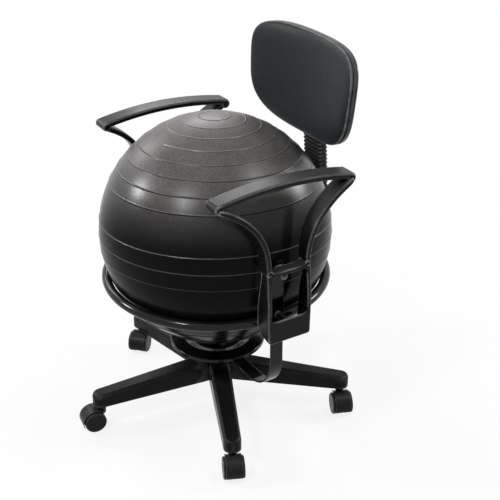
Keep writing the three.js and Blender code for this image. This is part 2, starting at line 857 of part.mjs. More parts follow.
// The bracket's side outline, drawn as X and Z: upright outside, swelling inward to the foot.
function bracketSide(inset) {
  const outer = armOuterReach - inset;
  const shape = new THREE.Shape();
  shape.moveTo(outer - bracketEdgeRadius, bracketBottom + inset);
  shape.quadraticCurveTo(outer, bracketBottom + inset, outer, bracketBottom + inset + bracketEdgeRadius);
  shape.lineTo(outer, bracketBend);
  shape.lineTo(armTopOuterReach - inset, bracketTop);
  shape.lineTo(armTopOuterReach - bracketTopDepth, bracketTop);
  shape.splineThru([
    point(armTopOuterReach - bracketTopDepth - inset / 2, windowTop),
    point(strapFace + bracketWaistStandOff, bracketWaistHeight),
    point(strapFace + bracketFootStandOff, bracketFootHeight),
    point(strapFace + bracketFootStandOff, bracketHeelHeight),
  ]);
  shape.quadraticCurveTo(
    strapFace + bracketFootStandOff,
    bracketBottom + bracketHeelRise + inset,
    armOuterReach - bracketHeelRun,
    bracketBottom + bracketHeelRise + inset,
  );
  return shape;
}

// The bracket's outline from the side of the chair, as Y and Z, with its window.
function bracketFace() {
  const shape = new THREE.Shape();
  const middleHeight = (bracketBottom + bracketTop) / 2;
  const wide = bracketHalfWidth + bracketBulge;
  shape.moveTo(-armForward - bracketHalfWidth, bracketBottom);
  shape.lineTo(-armForward + bracketHalfWidth, bracketBottom);
  shape.quadraticCurveTo(
    -armForward + wide,
    middleHeight,
    -armForward + bracketTopHalfWidth,
    bracketTop,
  );
  shape.lineTo(-armForward - bracketTopHalfWidth, bracketTop);
  shape.quadraticCurveTo(
    -armForward - wide,
    middleHeight,
    -armForward - bracketHalfWidth,
    bracketBottom,
  );
  const windowMiddle = (windowBottom + windowTop) / 2;
  const opening = roundRectangle(
    2 * windowHalfWidth,
    windowTop - windowBottom,
    windowRadius,
    windowCornerSteps,
  );
  const placed = opening.map((at) => point(at.x - armForward, at.y + windowMiddle));
  shape.holes.push(new THREE.Path(placed));
  return shape;
}

function armBracket() {
  const whole = alongY(
    bracketSide(0),
    -armForward - bracketHalfWidth - bracketBulge,
    -armForward + bracketHalfWidth + bracketBulge,
  ).intersect(alongX(bracketFace(), 0, armOuterReach + cutOverrun));
  const pocketHalf = bracketHalfWidth - bracketWall;
  const pocketTop = windowTop;
  const pocketShape = new THREE.Shape([
    point(strapFace, bracketBottom + bracketHeelRise + bracketWall),
    point(armOuterReach - bracketWall, bracketBottom + bracketHeelRise + bracketWall),
    point(armOuterReach - bracketWall, bracketBend),
    point(bracketReachAt(pocketTop) - bracketWall, pocketTop),
    point(strapFace, pocketTop),
  ]);
  const pocket = alongY(pocketShape, -armForward - pocketHalf, -armForward + pocketHalf);
  const bossStart = strapFace + strapThickness + seatGap;
  const bossEnds = [armOuterReach - bracketWall / 2, bossStart + tabDepth];
  const bosses = armBoltHeights.map((height, i) =>
    rod(
      new THREE.Vector3(bossStart, -strapForward, height),
      new THREE.Vector3(bossEnds[i], -strapForward, height),
      bossRadius,
      roundSides,
    ),
  );
  const tabShape = new THREE.Shape([
    point(bossStart, armBoltHeights[1]),
    point(bossStart + tabDepth, armBoltHeights[1]),
    point(bossStart + tabDepth, windowTop + crossbarHeight / 2),
    point(bossStart, windowTop + crossbarHeight / 2),
  ]);
  const tab = alongY(tabShape, -strapForward - bossRadius, -strapForward + bossRadius);
  return joined(cut(whole, pocket), ...bosses, tab);
}

const leftArm = cut(joined(armBracket(), armStrut(-1), armStrut(1), armPad()), ...armBoltHoles);
const rightArm = solid(geometryOf(leftArm).scale(-1, 1, 1)); // its mirror image
chair.add(piece("left_arm", leftArm, armPlastic));
chair.add(piece("right_arm", rightArm, armPlastic));

Object.entries(sides).forEach(([sideName, side]) => {
  ["lower", "upper"].forEach((level, i) => {
    const bolt = armBolt(side, armBoltHeights[i]);
    chair.add(piece(sideName + "_arm_" + level + "_bolt", bolt, platedSteel));
  });
});

// Backrest: points on its curved, tilted surface, by width, height and depth behind the seam
function backPoint(across, up, depth) {
  const behind = depth - (backBend - Math.sqrt(backBend ** 2 - across ** 2));
  return new THREE.Vector3(
    across,
    backSetback + up * Math.sin(backTilt) + behind * Math.cos(backTilt),
    backHeight + up * Math.cos(backTilt) - behind * Math.sin(backTilt),
  );
}

// The backrest's outline, shrunk by a share and an inset, at a depth.
function backRing(share, inset, depth) {
  return Array.from({ length: outlineSides }, (_, i) => {
    const angle = (i / outlineSides) * 2 * Math.PI;
    const [c, s] = [Math.cos(angle), Math.sin(angle)];
    const power = 2 / (s < 0 ? backBottomPower : backTopPower);
    const up = (backHalfHeight - inset) * Math.sign(s) * Math.abs(s) ** power;
    const widen = 1 + (backTaperShare * up) / backHalfHeight;
    const across = (backHalfWidth - inset) * Math.sign(c) * Math.abs(c) ** power * widen;
    return backPoint(across * share, up * share, depth);
  });
}

const cushion = loft([
  backRing(centreShare, boardInset, -seatGap),
  backRing(halfwayShare, boardInset, -seatGap),
  backRing(1, boardInset, -seatGap),
  backRing(1, 0, -seatGap),
  ...cushionEdgeShares.map(([share, depth]) => backRing(share, 0, -cushionEdge * depth)),
  ...crownShares.map(([share, depth]) => backRing(share, 0, -crownHeight * depth)),
]);
chair.add(piece("back_cushion", cushion, seatVinyl));

const boardFront = seatGap;
const boardBack = boardFront + boardThickness;
const board = loft([
  backRing(centreShare, boardInset, boardFront),
  backRing(halfwayShare, boardInset, boardFront),
  backRing(1, boardInset, boardFront),
  backRing(1, boardInset, boardBack),
  backRing(halfwayShare, boardInset, boardBack),
  backRing(centreShare, boardInset, boardBack),
]);

// Carrier: the block behind the board that slides on the back bar
const backPlaneSetback = (height) => backSetback + (height - backHeight) * Math.tan(backTilt);
const carrierBottom = backHeight - backHalfHeight * Math.cos(backTilt) + carrierBottomRise;
const carrierTop = carrierBottom + carrierLength;
const boardClear = boardBack + runningGap;
const halfBar = strapThickness / 2;

// The carrier's outline as Y and Z: its front lies along the board, its back along the bar.
const carrierOutline = (grow, low, high) =>
  new THREE.Shape([
    point(backPlaneSetback(low) + boardClear, low),
    point(barSetbackAt(low) + halfBar + carrierWall + grow, low),
    point(barSetbackAt(high) + halfBar + carrierWall + grow, high),
    point(backPlaneSetback(high) + boardClear, high),
  ]);
const carrierBlock = alongX(
  carrierOutline(0, carrierBottom, carrierTop),
  -carrierHalfWidth,
  carrierHalfWidth,
);
const slotFrom = carrierBottom - cutOverrun;
const slotTo = carrierTop + cutOverrun;
const slotHalf = halfBar + seatGap;
const barSlot = alongX(
  new THREE.Shape([
    point(barSetbackAt(slotFrom) - slotHalf, slotFrom),
    point(barSetbackAt(slotFrom) + slotHalf, slotFrom),
    point(barSetbackAt(slotTo) + slotHalf, slotTo),
    point(barSetbackAt(slotTo) - slotHalf, slotTo),
  ]),
  -barWidth / 2 - seatGap,
  barWidth / 2 + seatGap,
);

// Knob: a lobed handwheel whose stem presses on the bar from behind
const knobHeight = carrierBottom + knobRise;
const knobAxis = new THREE.Vector3(0, Math.cos(barLean), Math.sin(barLean));
const knobStart = new THREE.Vector3(0, barSetbackAt(knobHeight) + halfBar + runningGap, knobHeight);
const onKnob = (distance) => knobStart.clone().addScaledVector(knobAxis, distance);
const spineBack = carrierWall + seatGap + spineWall;
const knobFace = spineBack + knobStandOff;
const knobHole = rod(
  onKnob(-strapThickness),
  onKnob(knobFace + cutOverrun),
  bored(knobStemRadius + runningGap),
);
const carrier = cut(carrierBlock, barSlot, knobHole);
chair.add(piece("height_carrier", carrier, blackPlastic));

function knob() {
  const steps = knobLobes * knobLobeSteps;
  const lobed = Array.from({ length: steps }, (_, i) => {
    const angle = (i / steps) * 2 * Math.PI;
    const swing = (1 + Math.cos(angle * knobLobes)) / 2;
    const radius = THREE.MathUtils.lerp(knobWaist, knobRadius, swing);
    return point(radius * Math.cos(angle), radius * Math.sin(angle));
  });
  const gripStart = knobFace + knobCollarLength;
  const grip = knobGripShares.map(([share, depth]) =>
    lobed.map((at) => new THREE.Vector3(at.x * share, gripStart + knobThickness * depth, at.y * share)),
  );
  const turn = new THREE.Quaternion().setFromUnitVectors(axisY, knobAxis);
  const placed = grip.map((points) =>
    points.map((at) => at.applyQuaternion(turn).add(knobStart)),
  );
  const gripMiddle = onKnob(gripStart + knobThickness / 2);
  const stem = rod(onKnob(0), gripMiddle, knobStemRadius);
  const collar = rod(onKnob(knobFace), gripMiddle, knobCollarRadius, roundSides);
  return joined(loft(placed), stem, collar);
}
chair.add(piece("height_knob", knob(), blackPlastic));

// Rear shell: a shallow dish over the board, with a spine that houses the carrier
const shellScrewPlaces = [
  point(shellScrewAcross, shellScrewUp),
  point(-shellScrewAcross, shellScrewUp),
  point(shellScrewAcross, -shellScrewUp),
  point(-shellScrewAcross, -shellScrewUp),
];
const shellRise = shellDepth - shellEdge;
const shellOuterSteps = [
  [1, seatGap],
  [1, shellEdge * shellRimShare],
  ...shellDishShares.map(([share, depth]) => [share, shellEdge + shellRise * depth]),
];
const shellOuter = loft([
  backRing(centreShare, 0, seatGap),
  backRing(halfwayShare, 0, seatGap),
  ...shellOuterSteps.map(([share, depth]) => backRing(share, 0, depth)),
]);
const shellHollow = loft([
  backRing(centreShare, shellWall, -cutOverrun),
  backRing(1, shellWall, -cutOverrun),
  backRing(1, shellWall, shellEdge * shellRimShare - shellWall),
  ...shellOuterSteps.slice(2).map(([share, depth]) => backRing(share, shellWall, depth - shellWall)),
]);
const spineLow = carrierBottom - carrierBottomRise;
const spineHigh = carrierTop + spineWall;
const spineBlock = alongX(
  carrierOutline(seatGap + spineWall, spineLow, spineHigh),
  -carrierHalfWidth - seatGap - spineWall,
  carrierHalfWidth + seatGap + spineWall,
);
const spineHollow = alongX(
  carrierOutline(seatGap, spineLow - cutOverrun, carrierTop + seatGap),
  -carrierHalfWidth - seatGap,
  carrierHalfWidth + seatGap,
);
const boardSpace = loft([
  backRing(centreShare, boardInset - seatGap, -cutOverrun),
  backRing(1, boardInset - seatGap, -cutOverrun),
  backRing(1, boardInset - seatGap, boardBack + seatGap),
  backRing(halfwayShare, boardInset - seatGap, boardBack + seatGap),
  backRing(centreShare, boardInset - seatGap, boardBack + seatGap),
]);

// A small screw through the shell into the board, or the hole for it.
function shellScrew({ x, y }, grow) {
  const shellBack = shellEdge + shellRise * shellScrewSeatShare;
  const from = backPoint(x, y, boardFront + 2 * seatGap - grow);
  const to = backPoint(x, y, shellBack);
  const outward = to.clone().sub(from).normalize();
  const headSeat = to.clone().addScaledVector(outward, seatGap - grow);
  const headTop = headSeat
    .clone()
    .addScaledVector(outward, grow ? cutOverrun : shellScrewHeadHeight);
  const pillar = rod(backPoint(x, y, boardBack + seatGap), to, shellScrewHeadRadius);
  const screw = joined(
    rod(from, headTop, grow ? bored(shellScrewRadius + grow) : shellScrewRadius),
    rod(headSeat, headTop, grow ? bored(shellScrewHeadRadius + grow) : shellScrewHeadRadius),
  );
  return { screw, pillar };
}
const shellScrewHoles = shellScrewPlaces.map((at) => shellScrew(at, seatGap).screw);
const shellPillars = shellScrewPlaces.map((at) => shellScrew(at, 0).pillar);
const dish = joined(cut(shellOuter, shellHollow), cut(spineBlock, boardSpace), ...shellPillars);
const backShell = cut(dish, spineHollow, boardSpace, knobHole, ...shellScrewHoles);
chair.add(piece("back_board", cut(board, ...shellScrewHoles), pineBoard));
chair.add(piece("back_shell", backShell, blackPlastic));
shellScrewPlaces.forEach((at, i) => {
  chair.add(piece("shell_screw_" + (i + 1), shellScrew(at, 0).screw, platedSteel));
});

// Bellows: a ribbed sleeve round the bar, from behind the ball up to the carrier
function bellows() {
  const top = spineLow - runningGap;
  const length = top - bellowsBottom;
  const ribs = Math.round(length / bellowsPitch);
  const section = (height, grow) =>
    roundRectangle(
      2 * (bellowsHalfWidth + grow),
      2 * (bellowsHalfDepth + grow),
      bellowsCorner + Math.min(grow, 0),
    ).map((at) => new THREE.Vector3(at.x, barSetbackAt(height) + at.y, height));
  const rings = Array.from({ length: 2 * ribs + 1 }, (_, i) =>
    section(bellowsBottom + (length * i) / (2 * ribs), i % 2 ? 0 : -bellowsRib),
  );
  const bore = [bellowsBottom - cutOverrun, top + cutOverrun].map((height) =>
    section(height, -bellowsRib - bellowsWall),
  );
  return cut(loft(rings), loft(bore));
}
chair.add(piece("back_bellows", bellows(), darkRubber));

// Casters: stem, hood, axle and two wheels, trailing from the stem
const axleHeight = wheelFlat;
const wheelRadius = wheelFlat / Math.cos(Math.PI / wheelSides);
const hoodInner = wheelRadius + hoodGap;
const hoodOuter = hoodInner + hoodThickness;
const hoodTop = legBottom - seatGap - stemCollarHeight - seatGap;

function hoodArc(inner, outer) {
  const shape = new THREE.Shape();
  shape.absarc(casterTrail, axleHeight, outer, hoodRearAngle, hoodFrontAngle, false);
  shape.absarc(casterTrail, axleHeight, inner, hoodFrontAngle, hoodRearAngle, true);
  return shape;
}

function casterHood() {
  const roof = alongY(hoodArc(hoodInner, hoodOuter), -hoodHalfWidth, hoodHalfWidth);
  const webShape = new THREE.Shape();
  webShape.absarc(casterTrail, axleHeight, hoodOuter, hoodRearAngle, hoodFrontAngle, false);
  webShape.lineTo(casterTrail - hoodHubRadius, axleHeight);
  webShape.absarc(casterTrail, axleHeight, hoodHubRadius, Math.PI, 2 * Math.PI, false);
  const web = alongY(webShape, -hoodWebHalf, hoodWebHalf);
  const boss = pin(hoodBossRadius, hoodTop - hoodBossHeight, hoodTop, 0, 0, roundSides);
  const post = pin(hoodWebHalf, axleHeight + hoodHubRadius, hoodTop, 0, 0);
  const axleHole = rod(
    new THREE.Vector3(casterTrail, -hoodHalfWidth, axleHeight),
    new THREE.Vector3(casterTrail, hoodHalfWidth, axleHeight),
    bored(axleRadius + seatGap),
  );
  const socketBottom = hoodTop - stemPinDrop - seatGap;
  const pinSocket = pin(bored(stemPinRadius + seatGap), socketBottom, hoodTop + cutOverrun);
  return cut(joined(roof, web, boss, post), axleHole, pinSocket);
}

function casterStem() {
  const collarBottom = hoodTop + seatGap;
  const collarTop = collarBottom + stemCollarHeight;
  const top = stemSocketTop - stemBossTopGap;
  const groove = top - 2 * stemGrooveHeight;
  return turned(
    [
      point(0, hoodTop - stemPinDrop),
      point(stemPinRadius, hoodTop - stemPinDrop),
      point(stemPinRadius, collarBottom),
      point(stemCollarRadius, collarBottom),
      point(stemCollarRadius, collarTop),
      point(stemRadius, collarTop),
      point(stemRadius, groove),
      point(stemRadius - stemGrooveDepth, groove),
      point(stemRadius - stemGrooveDepth, groove + stemGrooveHeight),
      point(stemRadius, groove + stemGrooveHeight),
      point(stemRadius, top),
      point(0, top),
    ],
    smallSides,
  );
}

// A wheel on the +Y side of the caster, turned so that a flat of its rim lies on the floor.
function casterWheel(side) {
  const bore = axleRadius + seatGap;
  const profile = [
    point(0, axleHalfLength + seatGap),
    point(bore, axleHalfLength + seatGap),
    point(bore, wheelInnerFace),
    point(wheelRadius - wheelEdge, wheelInnerFace),
    point(wheelRadius, wheelInnerFace + wheelEdge),
    point(wheelRadius, wheelOuterFace - wheelEdge),
    point(wheelRadius - wheelEdge, wheelOuterFace),
    point(0, wheelOuterFace),
  ];
  const geometry = new THREE.LatheGeometry([...profile, profile[0]], wheelSides);
  geometry.rotateY(Math.PI / wheelSides);
  if (side < 0) geometry.rotateX(Math.PI);
  return solid(geometry.translate(casterTrail, 0, axleHeight));
}

// The way each caster trails when the chair stands as it was left
const casterTrails = [0, -70, 30, 123, -2].map(THREE.MathUtils.degToRad);
const hoodSolid = casterHood();
const stemSolid = casterStem();
const axleSolid = rod(
  new THREE.Vector3(casterTrail, -axleHalfLength, axleHeight),
  new THREE.Vector3(casterTrail, axleHalfLength, axleHeight),
  axleRadius,
);
legAngles.forEach((angle, i) => {
  const caster = new THREE.Group();
  caster.position.set(casterCircle * Math.cos(angle), casterCircle * Math.sin(angle), 0);
  caster.rotation.z = angle + casterTrails[i];
  const name = "caster_" + (i + 1);
  caster.add(piece(name + "_stem", stemSolid, platedSteel));
  caster.add(piece(name + "_hood", hoodSolid, blackPlastic));
  caster.add(piece(name + "_axle", axleSolid, platedSteel));
  caster.add(piece(name + "_left_wheel", casterWheel(1), darkRubber));
  caster.add(piece(name + "_right_wheel", casterWheel(-1), darkRubber));
  chair.add(caster);
});

// The middle of the footprint becomes the origin
const footprint = new THREE.Box3().setFromObject(chair, true);
const middle = footprint.getCenter(new THREE.Vector3());
chair.position.set(-middle.x, -middle.y, -footprint.min.z);
const part = new THREE.Group();
part.add(chair);

export default part;
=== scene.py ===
import json
import math

import bpy
import numpy as np
from mathutils import Matrix, Vector


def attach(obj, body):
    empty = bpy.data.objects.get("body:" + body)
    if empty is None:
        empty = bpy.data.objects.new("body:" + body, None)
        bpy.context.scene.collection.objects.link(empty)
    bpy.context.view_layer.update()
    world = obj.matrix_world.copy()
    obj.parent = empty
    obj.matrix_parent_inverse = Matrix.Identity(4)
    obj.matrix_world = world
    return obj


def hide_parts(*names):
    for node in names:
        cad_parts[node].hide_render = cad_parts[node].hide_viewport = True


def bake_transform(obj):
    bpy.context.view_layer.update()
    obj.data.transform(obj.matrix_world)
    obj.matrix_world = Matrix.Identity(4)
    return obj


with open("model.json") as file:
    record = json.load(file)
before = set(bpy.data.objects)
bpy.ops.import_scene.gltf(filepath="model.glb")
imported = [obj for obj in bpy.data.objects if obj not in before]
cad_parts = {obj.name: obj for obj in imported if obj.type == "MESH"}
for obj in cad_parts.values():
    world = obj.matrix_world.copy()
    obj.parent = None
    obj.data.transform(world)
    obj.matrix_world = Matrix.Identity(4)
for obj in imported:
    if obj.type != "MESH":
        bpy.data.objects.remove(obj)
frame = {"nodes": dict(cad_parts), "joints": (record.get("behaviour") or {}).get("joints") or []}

MM = 0.001
join = np.concatenate

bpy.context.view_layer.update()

# Sizes are millimetres from the swivel axis and the floor, as in the solids. The ridges' places and
# fade, the hood's span and lip and the casters' trails are degrees. Tips, tapers and powers are plain
swivel = next(joint for joint in frame["joints"] if joint["name"] == "seat_swivel")
AXIS = np.array([swivel["pos_m"][0], swivel["pos_m"][1], 0.0])

# Ball, ring and pan
BALL_RADIUS = 259.1
BALL_HEIGHT = 451.407
BALL_TILT = math.radians(4.0)
BALL_LEAN = (-0.852, 0.523, 0.0)
POLE_GAP = 1.5
RIDGE_FIRST = 7.4
RIDGE_STEP = 7.9
RIDGE_COUNT = 8
WAIST_RIDGES = (82.0, 90.0)
RIDGE_RISE = 0.85
RIDGE_HALF = 1.0
RIDGE_POINTS = (-3.2, -2.1, -1.3, -0.65, 0, 0.65, 1.3, 2.1, 3.2)
RIDGE_CLEAR = 1.1
RIDGE_FADE = (1.5, 4.0)
RING_RADIUS = 248.7
RING_TUBE = 11.0
RING_HEIGHT = 343.0
VALVE_DIP = math.radians(58.0)
PAN_FLOOR = 159.3

# Flat bars
STRAP_THICKNESS = 5.0
STRAP_TOP = 159.0
STRAP_MIDDLE = STRAP_TOP - STRAP_THICKNESS / 2
STRAP_FACE = 260.0
STRAP_REACH = STRAP_FACE + STRAP_THICKNESS / 2
STRAP_CORNER = 88.0
STRAP_FORWARD = 5.0
STRAP_WIDTH = 30.0
BAR_WIDTH = 40.0
BAR_KNEE = (275.5, 423.0)
BAR_LEAN = math.radians(3.2)
BAR_TOP = 700.0
BAR_START = 16.0
BAR_BEND = 354.0
BAR_CORNER = 60.0
BAR_EDGE = 1.3
STRAP_END = 476.0

# Base
LEGS = 5
BASE_TURN = math.radians(-24.0)
LEG_BOTTOM = 61.0
LEG_REACH = 313.0
LEG_WALL = 3.5
LEG_NOSE = 18.0
LEG_WIDTH = 50.0
LEG_NARROWING = 11.0
LEG_CROWN = 109.0
LEG_FALL = 18.0
LEG_ROUNDING = 9.0
RIB_PLACES = (102.75, 162.5, 222.25)
RIB_HALF = 1.5
KEEL_TOP = 90.0
BOSS_TOP = 88.0
HUB_RADIUS = 43.0
HUB_TOP = 125.0
CASTER_CIRCLE = 293.0
CASTER_TRAIL = 22.0
CASTER_TRAILS = (0, -70, 30, 123, -2)
AXLE_HEIGHT = 25.0
WHEEL_RADIUS = 25.2
HOOD_RADIUS = WHEEL_RADIUS + 1.7 + 0.9
HOOD_SPAN = (-23, 140)
HOOD_LIP = 122
HOOD_FLARE = 1.4
HOOD_WIDTH = 37.0
HOOD_WALL = 1.9
AXLE_BOSS = 8

# Arms
ARM_FORWARD = 2.0
ARM_REACH = 309.0
ARM_TOP_REACH = 303.0
BRACKET_LOW = 322.0
BRACKET_HIGH = 485.0
BRACKET_BEND = 413.0
BRACKET_WALL = 4.0
BRACKET_HALVES = (51.0, 52.0)
BRACKET_BOW = 1.0
BRACKET_CORNER = 7.0
BRACKET_RIM = 2.6
BRACKET_EDGE = 4.0
BRACKET_INSIDE = ((322, 277), (331, 275), (337, 267.5), (345, 264),
                  (366, 264), (424, 269), (465, 277), (485, 278.5))
FOOT_LIFT = 9.0
FOOT_DEPTH = 34.0
FOOT_TOP = 352.0
POCKET_LOW = 335.0
POCKET_HIGH = 477.5
POCKET_HALVES = (47.0, 48.0)
POCKET_CORNER = 6.0
WINDOW_LOW = 373.0
WINDOW_HIGH = 476.0
WINDOW_HALF = 44.0
WINDOW_CORNER = 10.0
LOWER_BOLT = 362.5
UPPER_BOLT = 464.0
BOSS_START = STRAP_FACE + 5.3
BOSS_RADIUS = 8.0
UPPER_BOSS_END = STRAP_FACE + 30
PAD_TOP = 664.0
PAD_FRONT = 155.0
PAD_REAR = 177.0
PAD_PEAK = 3.0
PAD_DROP = 16.0
PAD_POWER = 1.95
PAD_WIDTH = 45.0
PAD_THICKNESS = 13.0
PAD_REACH = 276.0
PAD_EDGE = 5.0
PAD_NOSE = 10.0
PAD_TIP = (0.6, 0.45)
PAD_TOE = 10.0
PAD_HEEL = 11.0
EDGE_SHARE = 0.42
STRUT_FOOT_HALF = 46.5
STRUT_FOOT_WIDTH = 26.0
STRUT_FOOT_THICKNESS = 11.0
STRUT_SWELL = 2.0
STRUT_WIDTH = PAD_WIDTH - 0.6
STRUT_EDGE = 4.2
STRUT_SINK = 4.5
STRUT_TIP = 0.05
STRUT_TIP_SIZE = (0.8, 0.65)
STRUT_RISE = 25.0
STRUT_SWEEP = 128.0
STRUT_SLOPE = math.radians(25)
STRUT_INSET = 7.0
STRUT_DROP = 6.0

# Backrest
BACK_HEIGHT = 742.0
BACK_SETBACK = 251.0
BACK_TILT = math.radians(5.0)
BACK_HALF_WIDTH = 192.0
BACK_HALF_HEIGHT = 114.5
BACK_BEND = 580.0
BACK_TAPER = 0.041
BACK_TOP_POWER = 4.2
BACK_BOTTOM_POWER = 2.9
CUSHION_EDGE = 8.0
CUSHION_CROWN = 12.0
WELT_DEPTH = 7.4
WELT_RADIUS = 1.4
CUSHION_BACK = 0.35
BOARD_INSET = 6.0
SHELL_WALL = 2.6
DISH_EDGE = 7.6
DISH_DEPTH = 9.7
HUMP_SIDES = (33.0, 47.0)
HUMP_TOP = (20.0, 60.0)
SPINE_CLEARANCE = 10.0
SPINE_DEPTH = 20.0
CARRIER_BOTTOM = 634.94
BELLOWS_LOW = 493.0
BELLOWS_HIGH = 627.4
BELLOWS_RIBS = 14
BELLOWS_HALF_WIDTH = 33.0
BELLOWS_HALF_DEPTH = 13.0
BELLOWS_CORNER = 7.0
BELLOWS_VALLEY = 2.4
BELLOWS_BORE = 4.6
KNOB_RISE = 34.0
KNOB_GAP = 3.0
KNOB_FACE = 11.5
KNOB_WAIST = 18.5
KNOB_LOBE = 3.5

SMOOTH_ANGLE = math.radians(38)


# Surfaces: every piece is one or more closed skins of points on a grid

def full_turn(count):
    """Angles in equal steps round a full turn."""
    return np.arange(count) * 2 * np.pi / count


def quarter_turn(count):
    """Angles from none to a quarter turn."""
    return np.linspace(0, np.pi / 2, count)


def skin(points, looped=False):
    """Faces over a grid of points[row, column]. Columns always close on themselves. Rows close on
    themselves where looped is true, and otherwise each end row is closed by a fan to its middle."""
    rows, columns = points.shape[:2]
    corners = points.reshape(-1, 3)
    row = np.arange(rows if looped else rows - 1)[:, None]
    column = np.arange(columns)[None, :]
    after_row = (row + 1) % rows
    after_column = (column + 1) % columns
    quads = np.stack([
        row * columns + column,
        row * columns + after_column,
        after_row * columns + after_column,
        after_row * columns + column,
    ], axis=-1).reshape(-1, 4)
    fans = np.empty((0, 3), int)
    if not looped:
        middles = np.stack([points[0].mean(0), points[-1].mean(0)])
        count = len(corners)
        corners = join([corners, middles])
        first = np.arange(columns)
        following = (first + 1) % columns
        last = first + (rows - 1) * columns
        low = np.stack([following, first, np.full(columns, count)], axis=-1)
        high = np.stack([last, following + (rows - 1) * columns, np.full(columns, count + 1)], axis=-1)
        fans = join([low, high])
    triangles = join([quads[:, [0, 1, 2]], quads[:, [0, 2, 3]], fans])
    a, b, c = (corners[triangles[:, k]] for k in range(3))
    if np.einsum("ij,ij->i", a, np.cross(b, c)).sum() < 0:
        quads = quads[:, ::-1]
        fans = fans[:, ::-1]
    return corners, quads, fans


def together(skins):
    """Several skins as one list of points and faces."""
    points, quads, fans = [], [], []
    count = 0
    for corners, fours, threes in skins:
        points.append(corners)
        quads.append(fours + count)
        fans.append(threes + count)
        count += len(corners)
    return join(points), join(quads), join(fans)


def grid(*axes):
    """Points[row, column] from X, Y and Z, any of which may be the same along rows or columns."""
    return np.stack(np.broadcast_arrays(*axes), axis=-1)


def placed(name, data):
    """A new object in the scene."""
    made = bpy.data.objects.new(name, data)
    bpy.context.scene.collection.objects.link(made)
    return made


def piece(name, skins, body, look, *nodes, mirrored=False):
    """One object made of closed skins, in place, riding on a body and standing for CAD nodes.
    A mirrored piece has X turned to -X and its faces turned round with it."""
    corners, quads, fans = together(skins)
    if mirrored:
        corners = corners * (-1, 1, 1)
        quads = quads[:, ::-1]
        fans = fans[:, ::-1]
    mesh = bpy.data.meshes.new(name)
    mesh.from_pydata((corners * MM + AXIS).tolist(), [], quads.tolist() + fans.tolist())
    mesh.polygons.foreach_set("use_smooth", np.ones(len(mesh.polygons), bool))
    mesh.set_sharp_from_angle(angle=SMOOTH_ANGLE)
    mesh.materials.append(MATERIALS[look])
    made = placed(name, mesh)
    if body:
        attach(made, body)
    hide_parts(*nodes)
    return made


def rounded_rectangle(width, height, radius, corner_steps=6, side_shares=(0.04, 0.5, 0.96)):
    """Sections[row, point]: a quarter circle of the radius in each corner of width by height,
    and points at shares of each straight side. Sizes may differ from row to row."""
    width, height, radius = (v[:, None, None] for v in np.broadcast_arrays(
        *(np.atleast_1d(np.asarray(v, float)) for v in (width, height, radius))))
    quarter = np.arange(4)[:, None] * (np.pi / 2)
    turn = quarter + quarter_turn(corner_steps + 1)
    across = np.sign(np.cos(quarter + np.pi / 4)) * (width / 2 - radius) + radius * np.cos(turn)
    up = np.sign(np.sin(quarter + np.pi / 4)) * (height / 2 - radius) + radius * np.sin(turn)
    arcs = np.stack([across, up], axis=-1)
    start = arcs[:, :, -1:]
    end = np.roll(arcs[:, :, :1], -1, axis=1)
    sides = start + np.array(side_shares)[:, None] * (end - start)
    return join([arcs, sides], axis=2).reshape(len(width), -1, 2)


def rounded_path(corners, radii, steps):
    """A line through corners with an arc of its radius at each inner corner: the arc's middle lies
    on the corner's bisector at radius / sin(half angle)."""
    corners = np.asarray(corners, float)
    line = [corners[:1]]
    for before, at, after, radius in zip(corners, corners[1:], corners[2:], radii):
        back = (before - at) / np.linalg.norm(before - at)
        on = (after - at) / np.linalg.norm(after - at)
        half = math.acos(np.clip(back @ on, -1, 1)) / 2
        inward = (back + on) / np.linalg.norm(back + on)
        middle = at + inward * radius / math.sin(half)
        start = at + back * radius / math.tan(half) - middle
        sweep = (math.pi - 2 * half) * -np.sign(back[0] * on[1] - back[1] * on[0])
        turn = np.linspace(0, sweep, steps + 1)
        line.append(middle + np.stack([
            start[0] * np.cos(turn) - start[1] * np.sin(turn),
            start[0] * np.sin(turn) + start[1] * np.cos(turn),
        ], axis=-1))
    return join(line + [corners[-1:]])


def finer(line, longest):
    """The same line with each stretch cut into equal parts no longer than a length."""
    steps = np.maximum(np.ceil(np.linalg.norm(np.diff(line, axis=0), axis=1) / longest), 1).astype(int)
    parts = [
        start + (end - start) * np.arange(count)[:, None] / count
        for start, end, count in zip(line, line[1:], steps)
    ]
    return join(parts + [line[-1:]])


def quarter_round(share):
    """How far a quarter circle has opened at a share of its radius from its end."""
    return np.sqrt(1 - (1 - np.clip(share, 0, 1)) ** 2)


def turned(profile, sides=64, looped=False):
    """A profile[row] of radius and height carried round Z."""
    angle = full_turn(sides)
    radius, height = profile[:, :1], profile[:, 1:]
    return skin(grid(radius * np.cos(angle), radius * np.sin(angle), height), looped)


def moved(made, matrix=np.eye(3), offset=(0, 0, 0)):
    """A skin turned by a matrix and then moved."""
    corners, quads, fans = made
    return corners @ np.asarray(matrix).T + np.asarray(offset, float), quads, fans


def about_z(angle):
    c, s = math.cos(angle), math.sin(angle)
    return np.array([[c, -s, 0], [s, c, 0], [0, 0, 1]])


def towards(way):
    """A matrix that turns +Z to a direction."""
    way = np.asarray(way, float) / np.linalg.norm(way)
    side = np.cross([0.0, 1.0, 0.0] if abs(way[1]) < 0.9 else [1.0, 0.0, 0.0], way)
    side /= np.linalg.norm(side)
    return np.stack([side, np.cross(way, side), way], axis=1)


def block_skin(low, high, edge=0.6):
    """A block between two corners with slightly rounded upright edges."""
    low, high = np.asarray(low, float), np.asarray(high, float)
    size, middle = high - low, (high + low) / 2
    inset = np.array([edge, 0, 0, edge])
    level = np.array([low[2], low[2] + edge, high[2] - edge, high[2]])
    section = rounded_rectangle(size[0] - 2 * inset, size[1] - 2 * inset, edge, 3, (0.5,))
    return skin(grid(section[..., 0] + middle[0], section[..., 1] + middle[1], level[:, None]))


